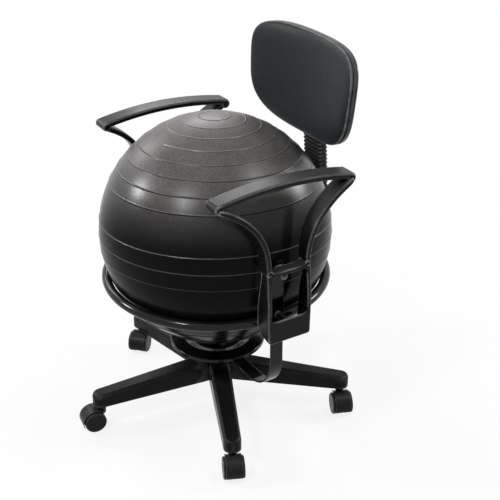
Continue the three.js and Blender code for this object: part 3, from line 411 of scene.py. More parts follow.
def rounded_profile(corners, radius, steps=4, longest=12.0):
    """An open line through corners, with rounded inner corners and no long stretches."""
    radii = [radius] * (len(corners) - 2) if np.isscalar(radius) else radius
    return finer(rounded_path(corners, radii, steps), longest)


def spline(knots, values, at):
    """A smooth curve through knots: a cubic between each two, with slopes from their neighbours."""
    slopes = np.gradient(values, knots)
    i = np.clip(np.searchsorted(knots, at) - 1, 0, len(knots) - 2)
    span = knots[i + 1] - knots[i]
    t = np.clip((at - knots[i]) / span, 0, 1)
    return ((1 + 2 * t) * (1 - t) ** 2 * values[i] + t * (1 - t) ** 2 * span * slopes[i]
            + t ** 2 * (3 - 2 * t) * values[i + 1] + t ** 2 * (t - 1) * span * slopes[i + 1])


def smoothstep(low, high, value):
    t = np.clip((value - low) / (high - low), 0, 1)
    return t * t * (3 - 2 * t)


# Finishes: node groups that several materials share, then one material for each slot, by its name

def add(tree, kind, inputs=None, **settings):
    """A node with its settings. Inputs are values, sockets, or nodes whose first output is meant."""
    made = tree.nodes.new("ShaderNode" + kind)
    for setting, value in settings.items():
        setattr(made, setting, value)
    for socket, value in (inputs or {}).items():
        if isinstance(value, bpy.types.Node):
            value = value.outputs[0]
        if isinstance(value, bpy.types.NodeSocket):
            tree.links.new(value, made.inputs[socket])
        else:
            made.inputs[socket].default_value = value
    return made


def arithmetic(tree, operation, *values, clamp=False):
    return add(tree, "Math", dict(enumerate(values)), operation=operation, use_clamp=clamp)


def ranged(tree, value, source=(0.0, 1.0), target=(0.0, 1.0), kind="LINEAR"):
    """A value carried from one range to another and kept within it."""
    inputs = {0: value, 1: source[0], 2: source[1], 3: target[0], 4: target[1]}
    return add(tree, "MapRange", inputs, interpolation_type=kind)


def noise(tree, place, scale, detail, roughness=0.5, distortion=0.0):
    return add(tree, "TexNoise", {"Vector": place, "Scale": scale, "Detail": detail, "Roughness": roughness,
                                  "Distortion": distortion})


def blended(tree, mask, first, second):
    """A colour between two, by a mask."""
    return add(tree, "Mix", {0: mask, 6: first, 7: second}, data_type="RGBA").outputs[2]


def facing_up(tree):
    """The Z of the normal: 1 where a face looks up, -1 where it looks down."""
    return add(tree, "SeparateXYZ", {0: add(tree, "NewGeometry").outputs["Normal"]}).outputs["Z"]


def grain_height(tree, place, scale, cells):
    """Moulded grain: small cells mixed with noise of their size into one height from 0 to 1."""
    cell = add(tree, "TexVoronoi", {"Vector": place, "Scale": scale}, feature="SMOOTH_F1")
    return add(tree, "Mix", {0: cells, 2: noise(tree, place, scale, 3.0, 0.6), 3: cell.outputs["Distance"]})


def dust_and_sheen_mask(tree, place, amount):
    """Dust from handling and bloom, and a painted sheen of light from above: patches broken by fine specks,
    growing as a face looks up.
    """
    up = ranged(tree, facing_up(tree), (0.2, 1.0), (0.02, 1.0), "SMOOTHSTEP")
    patches = ranged(tree, noise(tree, place, 9.0, 6.0, 0.62), (0.3, 0.7), (0.6, 1.0))
    specks = ranged(tree, noise(tree, place, 330.0, 3.0, 0.8), (0.36, 0.64), (0.45, 1.15))
    even = arithmetic(tree, "MULTIPLY", arithmetic(tree, "MULTIPLY", up, patches), specks)
    return arithmetic(tree, "MULTIPLY", even, amount, clamp=True)


def edge_wear_and_highlight_mask(tree, place, amount):
    """Rubbed edges and painted edge highlights: where the surface turns sharply outward, broken up by noise.
    """
    edge = ranged(tree, add(tree, "NewGeometry").outputs["Pointiness"], (0.514, 0.532))
    worn = ranged(tree, noise(tree, place, 60.0, 4.0), (0.3, 0.6), (0.4, 1.0))
    return arithmetic(tree, "MULTIPLY", arithmetic(tree, "MULTIPLY", edge, worn), amount)


def smear_gloss(tree, place, scale, low, high):
    """Uneven gloss: slow noise, as moulding and wiping leave it, between two roughnesses."""
    return ranged(tree, noise(tree, place, scale, 5.0), (0.3, 0.7), (low, high))


def new_group(name, build, output, **inputs):
    """A shader node group with a place, more inputs by their usual values, and one output, which
    build makes from the inputs."""
    tree = bpy.data.node_groups.new(name, "ShaderNodeTree")
    tree.interface.new_socket("Vector", in_out="INPUT", socket_type="NodeSocketVector")
    for label, value in inputs.items():
        socket = tree.interface.new_socket(label, in_out="INPUT", socket_type="NodeSocketFloat")
        socket.default_value = value
    tree.interface.new_socket(output, in_out="OUTPUT", socket_type="NodeSocketFloat")
    given = tree.nodes.new("NodeGroupInput").outputs
    made = build(tree, given["Vector"], *(given[label] for label in inputs))
    tree.links.new(made.outputs[0], tree.nodes.new("NodeGroupOutput").inputs[output])
    return tree


GRAIN = new_group("moulded grain", grain_height, "Height", Scale=900.0, Cells=0.5)
DUST_AND_SHEEN = new_group("Dust and painted sheen", dust_and_sheen_mask, "Mask", Amount=0.3)
EDGE_WEAR_AND_HIGHLIGHT = new_group("edge wear and painted edge highlights", edge_wear_and_highlight_mask, "Mask", Amount=0.5)
SMEAR = new_group("uneven gloss", smear_gloss, "Roughness", Scale=14.0, Low=0.3, High=0.4)
# Faces that look up turn towards the first colour below, as Dust settles on them and as a painted sheen of
# light from above. Edges turn paler by the gain and the lift, from wear and from highlights painted along
# them.
DUST_AND_SHEEN_COLOUR = (0.165, 0.16, 0.155, 1.0)
DUST_DULLING = 0.35
RUB_DULLING = 0.12
EDGE_WEAR_AND_HIGHLIGHT_GAIN = 2.6
EDGE_WEAR_AND_HIGHLIGHT_LIFT = 0.24
POLISHED_FROM = (0.2, 0.6)
MATERIALS = {}


def new_tree(name):
    """The empty node tree of a new material, which is kept under its name."""
    material = MATERIALS[name] = bpy.data.materials.new(name)
    material.use_nodes = True
    material.node_tree.nodes.clear()
    return material.node_tree


def finish(name, colour, second, gloss, grain=900.0, cells=0.5, depth=0.12, height=0.0002,
           dust_and_sheen=0.06, edge_wear_and_light=0.4, metallic=0.0, speckle=120.0, coat=0.0, sheen=0.0, specular=0.5, matte=None):
    """A surface of two close colours mixed by speckled noise. Dust lightens it where a face looks up,
    together with a painted sheen of light from above. It is paler where the surface turns sharply, from edge
    wear and from painted edge highlights, and both of these dull its gloss. It has uneven gloss and a fine
    moulded grain in its bump. Where a matte level is given, the faces that look down keep that duller level,
    and handling has polished those that look up."""
    tree = new_tree(name)
    place = add(tree, "TexCoord").outputs["Object"]

    def grouped(group, **inputs):
        return add(tree, "Group", {"Vector": place, **inputs}, node_tree=group)

    flecks = ranged(tree, noise(tree, place, speckle, 4.0, 0.7), (0.36, 0.66))
    # The first mask lightens faces that look up, as Dust and as a painted sheen of light from above. The
    # second paints edge highlights as well as edge wear.
    dust_and_sheen_share = grouped(DUST_AND_SHEEN, Amount=dust_and_sheen)
    edge_wear_and_highlight = grouped(EDGE_WEAR_AND_HIGHLIGHT, Amount=edge_wear_and_light)
    dusted_and_lit = blended(tree, dust_and_sheen_share, blended(tree, flecks, colour, second), DUST_AND_SHEEN_COLOUR)
    worn_and_lit_colour = tuple(min(1.0, c * EDGE_WEAR_AND_HIGHLIGHT_GAIN + EDGE_WEAR_AND_HIGHLIGHT_LIFT) for c in second[:3]) + (1.0,)
    uneven = grouped(SMEAR, Low=gloss[0], High=gloss[1])
    dulled = arithmetic(tree, "MULTIPLY_ADD", dust_and_sheen_share, DUST_DULLING, uneven, clamp=True)
    relief = grouped(GRAIN, Scale=grain, Cells=cells)
    if matte is not None:
        specular = ranged(tree, facing_up(tree), POLISHED_FROM, (matte, specular), "SMOOTHSTEP")
    shader = add(tree, "BsdfPrincipled", {
        "Base Color": blended(tree, edge_wear_and_highlight, dusted_and_lit, worn_and_lit_colour),
        "Roughness": arithmetic(tree, "MULTIPLY_ADD", edge_wear_and_highlight, RUB_DULLING, dulled, clamp=True),
        "Metallic": metallic,
        "Normal": add(tree, "Bump", {"Strength": depth, "Distance": height, "Height": relief}),
        "Coat Weight": coat,
        "Sheen Weight": sheen,
        "Specular IOR Level": specular,
    })
    add(tree, "OutputMaterial", {"Surface": shader})


def plywood_finish():
    """Plain wood: soft noise drawn out along the board for its grain."""
    tree = new_tree("plywood")
    place = add(tree, "TexCoord").outputs["Object"]
    long_way = add(tree, "Mapping", {"Vector": place, "Scale": (1.0, 8.0, 14.0)})
    streaks = noise(tree, long_way, 12.0, 8.0, distortion=0.6)
    shader = add(tree, "BsdfPrincipled", {
        "Base Color": blended(tree, streaks, (0.44, 0.29, 0.15, 1.0), (0.62, 0.45, 0.27, 1.0)),
        "Roughness": ranged(tree, streaks, target=(0.6, 0.85)),
        "Normal": add(tree, "Bump", {"Strength": 0.3, "Distance": 0.0004, "Height": streaks}),
    })
    add(tree, "OutputMaterial", {"Surface": shader})


def grey(value, warmth=0.0):
    return (value * (1 + warmth), value, value * (1 - warmth), 1.0)


# Each finish's edge_wear_and_light both wears its edges and paints highlights along them, most of all on the
# arms, the cushion's welt, the casters and the ball's ridges. The ball's high dust_and_sheen mostly paints
# the sheen of light from above on its upper half.
finish("satin_nylon", grey(0.002), grey(0.004), (0.24, 0.34), grain=1200.0, depth=0.15, edge_wear_and_light=0.2,
       dust_and_sheen=0.05, specular=0.1)
finish("plated_steel", grey(0.13), grey(0.2), (0.24, 0.36), grain=500.0, depth=0.05, metallic=1.0,
       dust_and_sheen=0.1, edge_wear_and_light=0.2)
finish("white_nylon", grey(0.66, 0.03), grey(0.74, 0.02), (0.4, 0.5), dust_and_sheen=0.1, edge_wear_and_light=0.2)
finish("painted_steel", grey(0.002), grey(0.003), (0.12, 0.2), grain=420.0, cells=0.1, depth=0.08,
       height=0.0003, dust_and_sheen=0.04, edge_wear_and_light=0.04, coat=0.2, specular=0.12)
finish("ball_vinyl", grey(0.0015, 0.05), grey(0.003, 0.08), (0.17, 0.24), grain=620.0, cells=0.6,
       depth=0.1, height=0.0003, speckle=420.0, dust_and_sheen=0.85, edge_wear_and_light=0.14, specular=0.3, matte=0.05)
finish("arm_plastic", grey(0.003), grey(0.006), (0.22, 0.32), grain=1400.0, depth=0.12, edge_wear_and_light=1.0,
       dust_and_sheen=0.22, specular=0.13)
finish("seat_vinyl", (0.0062, 0.0086, 0.0092, 1.0), (0.0105, 0.0135, 0.0142, 1.0), (0.36, 0.48),
       grain=700.0, cells=0.8, depth=0.3, height=0.0003, dust_and_sheen=0.05, edge_wear_and_light=0.6, sheen=0.03, specular=0.13)
finish("black_plastic", grey(0.003), grey(0.005), (0.11, 0.2), grain=1200.0, depth=0.06, edge_wear_and_light=0.35,
       specular=0.3)
plywood_finish()
finish("dark_rubber", grey(0.004), grey(0.007), (0.4, 0.55), grain=1500.0, depth=0.3, edge_wear_and_light=0.3,
       dust_and_sheen=0.08, specular=0.1)
finish("caster_nylon", grey(0.004), grey(0.008), (0.24, 0.36), grain=1300.0, depth=0.25, edge_wear_and_light=0.5,
       dust_and_sheen=0.12, specular=0.14)


# Ball

def ball_skin():
    """A sphere about its own pole. Its radius rises by a bell curve at each ridge's angle from the
    pole; the pole leans away from the front left corner, and ridges fade where the ring presses in."""
    rings = RIDGE_FIRST + RIDGE_STEP * np.arange(RIDGE_COUNT)
    lines = join([rings, WAIST_RIDGES])
    lines = np.unique(np.round(join([lines, 180 - lines]), 3))
    offsets = np.degrees(np.array(RIDGE_POINTS) / BALL_RADIUS)
    plain = np.linspace(POLE_GAP, 180 - POLE_GAP, 90)
    near = np.abs(plain[:, None] - lines).min(axis=1) < RIDGE_CLEAR
    colatitude = np.sort(join([plain[~near], (lines[:, None] + offsets).ravel()]))
    angle = np.radians(colatitude)[:, None]
    turn = full_turn(192)
    way = grid(np.sin(angle) * np.cos(turn), np.sin(angle) * np.sin(turn), np.cos(angle))
    hinge = np.cross([0.0, 0.0, 1.0], BALL_LEAN)
    way = way @ np.array(Matrix.Rotation(BALL_TILT, 3, Vector(hinge))).T
    from_line = (colatitude[:, None] - lines) * math.radians(1) * BALL_RADIUS
    ridge = np.exp(-(from_line / RIDGE_HALF) ** 2).sum(axis=1)[:, None]
    contact = math.asin((RING_HEIGHT - BALL_HEIGHT) / math.hypot(RING_RADIUS, RING_HEIGHT - BALL_HEIGHT))
    latitude = np.arcsin(np.clip(way[..., 2], -1, 1))
    free = smoothstep(*np.radians(RIDGE_FADE), np.abs(latitude - contact))
    radius = BALL_RADIUS + RIDGE_RISE * ridge * free
    return skin(way * radius[..., None] + (0, 0, BALL_HEIGHT))


piece("ball", [ball_skin()], "ball", "ball_vinyl", "exercise_ball")


def valve_skin():
    """A button of radius and depth turned about the valve's way out of the ball."""
    way = (0, math.cos(VALVE_DIP), -math.sin(VALVE_DIP))
    profile = rounded_profile([(0.5, 252), (6.5, 252), (6.5, 258.5), (10.5, 258.9), (10.5, 261.2),
                               (6.0, 261.6), (5.2, 260.9), (0.5, 260.9)], 0.35)
    return moved(turned(profile, 40), towards(way), (0, 0, BALL_HEIGHT))


piece("ball_plug", [valve_skin()], "ball", "white_nylon", "valve_plug")


# Ring and pan

def ring_skin():
    """A round tube whose middle runs round a circle."""
    around, over = full_turn(192)[:, None], full_turn(28)
    reach = RING_RADIUS + RING_TUBE * np.cos(over)
    height = RING_HEIGHT + RING_TUBE * np.sin(over)
    return skin(grid(reach * np.cos(around), reach * np.sin(around), height), looped=True)


piece("steel_ring", [ring_skin()], "seat_frame", "painted_steel", "ball_ring")


def pan_skin():
    """The pressing's profile, there and back one sheet's thickness apart, turned round Z."""
    low = PAN_FLOOR
    upper = rounded_path([(8.6, low + 3), (58.5, low + 3), (81, low + 13.7), (111, low + 8.7),
                          (111, low + 1.2)], [18, 9, 3], 7)
    lower = rounded_path([(108, low + 1.2), (108, low + 5.7), (81, low + 10.7), (60, low), (8.6, low)],
                         [1.2, 7, 16], 7)
    return turned(join([finer(upper, 6.0), finer(lower, 6.0)]), 144, looped=True)


piece("pressed_pan", [pan_skin()], "seat_frame", "painted_steel", "seat_pan")


# Flat bars

def bar_skin(line, width, along_x):
    """A flat bar's section of soft-edged rectangle carried along a line: the section's width lies
    level, and its thickness lies square to the line."""
    run = np.gradient(line, axis=0)
    run /= np.linalg.norm(run, axis=1, keepdims=True)
    across = np.stack([-run[:, 1], run[:, 0]], axis=-1)
    section = rounded_rectangle(np.full(len(line), width), STRAP_THICKNESS, BAR_EDGE, 4)
    reach, height = np.moveaxis(line[:, None] + across[:, None] * section[..., 1:], -1, 0)
    level = section[..., 0]
    return skin(grid(level, reach, height) if along_x else grid(reach, level - STRAP_FORWARD, height))


def strap_line():
    corners = [(-STRAP_REACH, STRAP_END), (-STRAP_REACH, STRAP_MIDDLE),
               (STRAP_REACH, STRAP_MIDDLE), (STRAP_REACH, STRAP_END)]
    return rounded_profile(corners, STRAP_CORNER, 24)


def back_bar_setback(height):
    return BAR_KNEE[0] - (height - BAR_KNEE[1]) * math.tan(BAR_LEAN)


def back_bar_line():
    corners = [(BAR_START, STRAP_MIDDLE), (STRAP_REACH, STRAP_MIDDLE), (STRAP_REACH, BAR_BEND), BAR_KNEE,
               (back_bar_setback(BAR_TOP), BAR_TOP)]
    return rounded_profile(corners, BAR_CORNER, 16)


piece("seat_strap", [bar_skin(strap_line(), STRAP_WIDTH, False)], "seat_frame", "painted_steel",
      "cross_strap")
piece("backrest_bar", [bar_skin(back_bar_line(), BAR_WIDTH, True)], "seat_frame", "painted_steel",
      "back_bar")


# Arms

def bracket_reach(height):
    """The bracket's outer face: upright to the bend, then leaning in to the crossbar."""
    share = (np.maximum(height, BRACKET_BEND) - BRACKET_BEND) / (BRACKET_HIGH - BRACKET_BEND)
    return ARM_REACH - share * (ARM_REACH - ARM_TOP_REACH)


def bracket_inside(height):
    """How far in the bracket's sides reach: least at the crossbar, most above the foot."""
    return spline(*np.transpose(BRACKET_INSIDE), height)


def bracket_loop(low, high, halves, radius, grow, bow=0.0):
    """An outline in Y and Z, grown all round: level top and bottom, sides that bow out by
    4 bow s (1 - s), and a quarter circle in each corner."""
    low, high, radius = low - grow, high + grow, radius + grow

    def half(height):
        share = (height - low) / (high - low)
        return halves[0] + grow + (halves[1] - halves[0]) * share + 4 * bow * share * (1 - share)

    turn = quarter_turn(7)
    side = np.linspace(0, 1, 18)[1:-1]
    level = np.linspace(0, 1, 12)[1:-1]
    heights = low + radius + side * (high - low - 2 * radius)
    right = join([
        np.stack([half(low + radius) - radius + radius * np.sin(turn),
                  low + radius - radius * np.cos(turn)], axis=-1),
        np.stack([half(heights), heights], axis=-1),
        np.stack([half(high - radius) - radius + radius * np.cos(turn),
                  high - radius + radius * np.sin(turn)], axis=-1),
    ])
    left = right[::-1] * (-1, 1)
    bottom = left[-1] + level[:, None] * (right[0] - left[-1])
    top = right[-1] + level[:, None] * (left[0] - right[-1])
    return join([bottom, right, top, left])


def saddle(across, reach=31.0, radius=10.0):
    """How far the crossbar's top rises towards the struts: a quarter circle past a reach."""
    past = np.clip(np.abs(across) - reach, 0, radius)
    return radius - np.sqrt(radius ** 2 - past ** 2)


def bracket_skin():
    """Rings of points round the window: from the window's edge over the face and its rounded rim,
    in along the outer wall, across the wall's edge, and back along the pocket to the window. The
    rings' tops rise into the struts."""
    def outline(grow):
        loop = bracket_loop(BRACKET_LOW, BRACKET_HIGH, BRACKET_HALVES, BRACKET_CORNER, grow, BRACKET_BOW)
        above = np.clip((loop[:, 1] - WINDOW_HIGH - 2) / 3, 0, 1)
        return loop + np.stack([0 * above, above * saddle(loop[:, 0])], axis=-1)

    def window(grow):
        return bracket_loop(WINDOW_LOW, WINDOW_HIGH, (WINDOW_HALF, WINDOW_HALF), WINDOW_CORNER, grow)

    def pocket(grow):
        return bracket_loop(POCKET_LOW, POCKET_HIGH, POCKET_HALVES, POCKET_CORNER, grow)

    def row(loop, inward=0.0, share=0.0):
        across, height = loop.T
        reach = bracket_reach(height)
        x = reach - inward - share * (reach - inward - bracket_inside(height))
        low = np.clip((FOOT_TOP - height) / (FOOT_TOP - BRACKET_LOW), 0, 1)
        lift = np.clip(FOOT_LIFT * (ARM_REACH - x) / FOOT_DEPTH * low, 0, FOOT_LIFT)
        return np.stack([x, across - ARM_FORWARD, height + lift], axis=-1)

    arc = quarter_turn(7)
    rim, edge = BRACKET_RIM, BRACKET_EDGE
    rows = [row(pocket(0), BRACKET_WALL), row(window(0), BRACKET_WALL)]
    rows += [row(window(rim * (1 - math.cos(a))), rim * (1 - math.sin(a))) for a in arc]
    rows += [row(window(rim) + s * (outline(-edge) - window(rim))) for s in (0.08, 0.3, 0.5, 0.7, 0.92)]
    rows += [row(outline(-edge + edge * math.sin(a)), edge * (1 - math.cos(a))) for a in arc]
    rows += [row(outline(0), edge, s) for s in (0.06, 0.25, 0.5, 0.75, 0.94)]
    rows += [row(outline(-0.4), edge, 0.985), row(outline(-1.2), edge, 1)]
    rows += [row(pocket(1.0), edge, 1), row(pocket(0.3), edge, 0.985)]
    rows += [row(pocket(0), BRACKET_WALL, s) for s in (0.94, 0.75, 0.5, 0.25, 0.05)]
    return skin(np.stack(rows), looped=True)


def boss_skin(height, end):
    """A round screw boss from the strap out to an end, turned about its bolt."""
    start, side = BOSS_START, BOSS_RADIUS
    profile = np.array([(0.5, start), (side - 0.6, start), (side, start + 0.7),
                        (side + 0.3, end - 0.8), (side - 0.4, end), (0.5, end)])
    return moved(turned(finer(profile, 8), 96), towards((1, 0, 0)), (0, -STRAP_FORWARD, height))


def tab_skin():
    """The tab that carries the upper boss down from the crossbar."""
    return block_skin((BOSS_START + 0.2, -STRAP_FORWARD - BOSS_RADIUS, UPPER_BOLT),
                      (UPPER_BOSS_END, -STRAP_FORWARD + BOSS_RADIUS, WINDOW_HIGH + 4), 1.5)


def outer_reach(height):
    return ARM_TOP_REACH - (height - BRACKET_HIGH) / (PAD_TOP - BRACKET_HIGH) * (ARM_TOP_REACH - PAD_REACH)


def pad_fall(y):
    """How far the pad's top lies below its peak: distance from the peak to a power."""
    return PAD_DROP * (np.abs(y - PAD_PEAK) / (PAD_FRONT + PAD_PEAK)) ** PAD_POWER


def drawn_in(width, thickness, tip, full):
    """Both sizes, shrunk to the tip's shares of themselves where full is 0."""
    return width * (tip[0] + (1 - tip[0]) * full), thickness * (tip[1] + (1 - tip[1]) * full)


def strut_skin(end):
    """A soft rectangle carried along a cubic curve from the bracket's corner to the pad's end,
    widening from the foot's width to the pad's as the square root of its share, and drawn in by a
    quarter round at its tip, as the pad's own nose is."""
    tip = end * ((PAD_FRONT if end < 0 else PAD_REAR) - STRUT_INSET)
    top = np.array([tip, PAD_TOP - pad_fall(tip) - PAD_THICKNESS / 2 - STRUT_DROP])
    foot = np.array([end * STRUT_FOOT_HALF - ARM_FORWARD, BRACKET_HIGH - STRUT_SINK])
    slope = np.array([-end * math.cos(STRUT_SLOPE), -math.sin(STRUT_SLOPE)])
    guide = [foot, foot + (0, STRUT_RISE), top + STRUT_SWEEP * slope, top]
    closing = 1 - STRUT_TIP * (1 - np.sin(np.linspace(0.2, np.pi / 2, 9)))
    t = join([np.linspace(0, 1 - STRUT_TIP, 46), closing])[:, None]
    at = ((1 - t) ** 3 * guide[0] + 3 * (1 - t) ** 2 * t * guide[1]
          + 3 * (1 - t) * t ** 2 * guide[2] + t ** 3 * guide[3])
    run = (3 * (1 - t) ** 2 * (guide[1] - guide[0]) + 6 * (1 - t) * t * (guide[2] - guide[1])
           + 3 * t ** 2 * (guide[3] - guide[2]))
    run /= np.linalg.norm(run, axis=1, keepdims=True)
    share = t[:, 0]
    full = quarter_round((1 - share) / STRUT_TIP)
    widest = STRUT_FOOT_WIDTH + (STRUT_WIDTH - STRUT_FOOT_WIDTH) * np.sqrt(share)
    width, thickness = drawn_in(widest, STRUT_FOOT_THICKNESS + STRUT_SWELL * share, STRUT_TIP_SIZE, full)
    section = rounded_rectangle(width, thickness, np.minimum(STRUT_EDGE, thickness * EDGE_SHARE), 7)
    middle = outer_reach(at[:, 1]) - widest / 2
    return skin(grid(
        middle[:, None] + section[..., 0],
        at[:, :1] - run[:, 1:] * section[..., 1],
        at[:, 1:] + run[:, :1] * section[..., 1],
    ))


def pad_skin():
    """The arm pad: a soft rectangle carried from front to rear, its middle falling away from the
    peak as distance to a power, and each end drawn in by a quarter round."""
    length = PAD_FRONT + PAD_REAR
    nose = PAD_NOSE / length
    end = nose * (1 - np.cos(quarter_turn(14)))
    share = join([end, np.linspace(nose, 1 - nose, 56)[1:-1], 1 - end[::-1]])
    y = -PAD_FRONT + share * length
    full = quarter_round(np.minimum(share, 1 - share) / nose)
    width, thickness = drawn_in(PAD_WIDTH, PAD_THICKNESS, PAD_TIP, full)
    middle = PAD_TOP - pad_fall(y) - PAD_THICKNESS / 2
    section = rounded_rectangle(width, thickness, np.minimum(PAD_EDGE, thickness * EDGE_SHARE), 7)
    across = PAD_REACH - PAD_WIDTH / 2 + section[..., 0]
    return skin(grid(across, y[:, None], middle[:, None] + section[..., 1]))


def pad_turn_skin(end, radius):
    """The round toe or heel in which the pad turns over into its strut: a soft-edged drum that lies
    across the arm, flush with the pad's top and the strut's outer face."""
    y = end * ((PAD_FRONT if end < 0 else PAD_REAR) - radius)
    low, high = PAD_REACH - PAD_WIDTH, PAD_REACH
    profile = rounded_profile([(0.5, low), (radius, low), (radius, high), (0.5, high)], PAD_EDGE, 7)
    return moved(turned(profile), towards((1, 0, 0)), (0, y, PAD_TOP - pad_fall(y) - radius))


arm_skins = [
    bracket_skin(), boss_skin(LOWER_BOLT, ARM_REACH - 2), boss_skin(UPPER_BOLT, UPPER_BOSS_END), tab_skin(),
    strut_skin(-1), strut_skin(1), pad_skin(), pad_turn_skin(-1, PAD_TOE), pad_turn_skin(1, PAD_HEEL)]
piece("left_armrest", arm_skins, "seat_frame", "arm_plastic", "left_arm")
piece("right_armrest", arm_skins, "seat_frame", "arm_plastic", "right_arm", mirrored=True)


# Backrest

def sag(across):
    return BACK_BEND - np.sqrt(BACK_BEND ** 2 - across ** 2)


def back_points(share, inset, depth, columns=176):
    """Rows of points on the curved, tilted backrest: a rounded box |x|^p + |z|^p = 1 with one power
    above and one below, shrunk by a share and an inset, widened upwards, at a depth behind the
    seam."""
    turn = full_turn(columns)
    c, s = np.cos(turn), np.sin(turn)
    power = np.where(s < 0, BACK_BOTTOM_POWER, BACK_TOP_POWER)
    unit = (np.abs(c) ** power + np.abs(s) ** power) ** (-1 / power)
    share, inset = np.asarray(share, float)[:, None], np.asarray(inset, float)[:, None]
    up = (BACK_HALF_HEIGHT - inset) * s * unit
    across = (BACK_HALF_WIDTH - inset) * c * unit * (1 + BACK_TAPER * up / BACK_HALF_HEIGHT)
    across, up = across * share, up * share
    if callable(depth):
        depth = depth(across, up)
    behind = depth - sag(across)
    return grid(
        across,
        BACK_SETBACK + up * math.sin(BACK_TILT) + behind * math.cos(BACK_TILT),
        BACK_HEIGHT + up * math.cos(BACK_TILT) - behind * math.sin(BACK_TILT),
    )


def cushion_skin():
    """A crowned pad: depth 8 + 12 (1 - s^5)^0.6 over the front, a round welt at its shoulder,
    a side that draws in at its middle, and a flat back on the board."""
    crown = np.maximum(1 - (1 - np.linspace(0.0, 0.985, 34)) ** 2, 0.02)
    front_share = join([crown[:-1], [0.9855, 0.989]])
    front_depth = CUSHION_EDGE + CUSHION_CROWN * (1 - front_share ** 5) ** 0.6
    welt = np.linspace(-0.35 * np.pi, 0.95 * np.pi, 9)
    welt_share = 0.9945 + 0.0065 * np.sin(welt)
    welt_depth = WELT_DEPTH + WELT_RADIUS * np.cos(welt)
    side = np.linspace(0, 1, 8)
    side_share = 1 - 0.010 * np.sin(np.pi * np.clip(side * 1.15, 0, 1)) - 0.004 * (side > 0.95)
    side_depth = 5.6 - 5.0 * side
    back_share = np.array([0.985, 0.9, 0.6, 0.3, 0.04])
    share = join([front_share, welt_share, side_share, back_share])
    depth = join([front_depth, welt_depth, side_depth, np.full(len(back_share), CUSHION_BACK)])
    inset = np.where(np.arange(len(share)) >= len(share) - len(back_share), BOARD_INSET, 0.0)
    return skin(back_points(share, inset, -depth[:, None]))


cushion = piece("cushion", [cushion_skin()], "backrest", "seat_vinyl", "back_cushion")


def spine_depth(across, up):
    """Depth of the spine's back behind the seam: far enough to clear the bar and its carrier."""
    height = BACK_HEIGHT + up * math.cos(BACK_TILT) - SPINE_DEPTH * math.sin(BACK_TILT)
    target = back_bar_setback(height) + SPINE_CLEARANCE
    behind = (target - BACK_SETBACK - up * math.sin(BACK_TILT)) / math.cos(BACK_TILT)
    return behind + sag(across)


def shell_skin():
    """A dish of depth 7.6 + 9.7 (1 - s^8)^0.5 with a hump over the carrier that blends in over
    14 mm, out to the rim and back inside it one wall's thickness in front."""
    dish_share = 1 - np.linspace(0.0, 0.985, 40)[1:] ** 1.6
    dish_share = join([[0.9975, 0.992, 0.985, 0.975], dish_share[dish_share < 0.97]])
    dish = DISH_EDGE + DISH_DEPTH * (1 - dish_share ** 8) ** 0.5
    share = join([[0.996, 1, 1, 1, 1], dish_share])
    depth = join([[0.3, 0.8, 3.0, 5.4, DISH_EDGE], dish])
    grown = join([[0, 0, 0.35, 0.7, 0.93], np.minimum(1, 0.95 + (1 - dish_share) * 8)])

    def outside(across, up):
        flank = 1 - smoothstep(*HUMP_SIDES, np.abs(across))
        lower = 1 - smoothstep(*HUMP_TOP, up)
        rise = np.maximum(spine_depth(across, up) - depth[:, None], 0)
        return depth[:, None] + flank * lower * grown[:, None] * rise

    outer = back_points(share, np.zeros(len(share)), outside)
    inner = back_points(share, np.full(len(share), SHELL_WALL),
                        lambda across, up: np.maximum(outside(across, up) - SHELL_WALL, 0.3))
    return skin(join([inner[1:][::-1], outer]))


piece("shell", [shell_skin()], "backrest", "black_plastic", "back_shell")


def bellows_skin():
    """A soft rectangle round the bar whose size swells and shrinks with height: rounded ribs with
    narrow valleys, and a plain bore inside."""
    t = np.linspace(0, 1, BELLOWS_RIBS * 12 + 1)
    grow = -BELLOWS_VALLEY * (np.cos(np.pi * BELLOWS_RIBS * t) ** 2) ** 1.6
    grow = join([grow, np.full(30, -BELLOWS_BORE)])
    t = join([t, np.linspace(1, 0, 30)])
    height = (BELLOWS_LOW + (BELLOWS_HIGH - BELLOWS_LOW) * t)[:, None]
    section = rounded_rectangle(2 * (BELLOWS_HALF_WIDTH + grow), 2 * (BELLOWS_HALF_DEPTH + grow),
                                BELLOWS_CORNER + grow * 0.6, 6)
    return skin(grid(section[..., 0], back_bar_setback(height) + section[..., 1], height), looped=True)


sleeve = piece("bellows_sleeve", [bellows_skin()], None, "dark_rubber", "back_bellows")
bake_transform(sleeve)


def knob_skins():
    """A grip whose radius swings six times between waist and lobe, rounded front and back, with a
    collar and a stem, all about the knob's axis."""
    height = CARRIER_BOTTOM + KNOB_RISE
    start = (0, back_bar_setback(height) + KNOB_GAP, height)
    face = KNOB_FACE
    turn = full_turn(144)
    lobed = KNOB_WAIST + KNOB_LOBE * (0.5 + 0.5 * np.cos(6 * turn)) ** 0.8
    edge = quarter_turn(7)
    share = join([[0.3, 0.7], 0.9 + 0.1 * np.sin(edge), 1 - 0.12 * (1 - np.cos(edge)),
                  [0.8, 0.62, 0.56, 0.3, 0.05]])
    depth = join([[0, 0], 3 * (1 - np.cos(edge)), 13.5 + 3.5 * np.sin(edge),
                  [17.2, 17.0, 16.2, 16.0, 16.0]])
    radius = share[:, None] * lobed
    grip = grid(radius * np.cos(turn), radius * np.sin(turn), (face + 6 + depth)[:, None])
    collar = rounded_profile([(0.5, face), (10, face), (10, face + 8), (0.5, face + 8)], 1.0)
    stem = rounded_profile([(0.5, 0), (4, 0), (4, face + 4), (0.5, face + 4)], 0.6)
    way = towards((0, math.cos(BAR_LEAN), math.sin(BAR_LEAN)))
    return [moved(made, way, start) for made in (skin(grip), turned(collar, 48), turned(stem, 32))]


piece("handwheel", knob_skins(), "clamp_knob", "black_plastic", "height_knob")


# Base

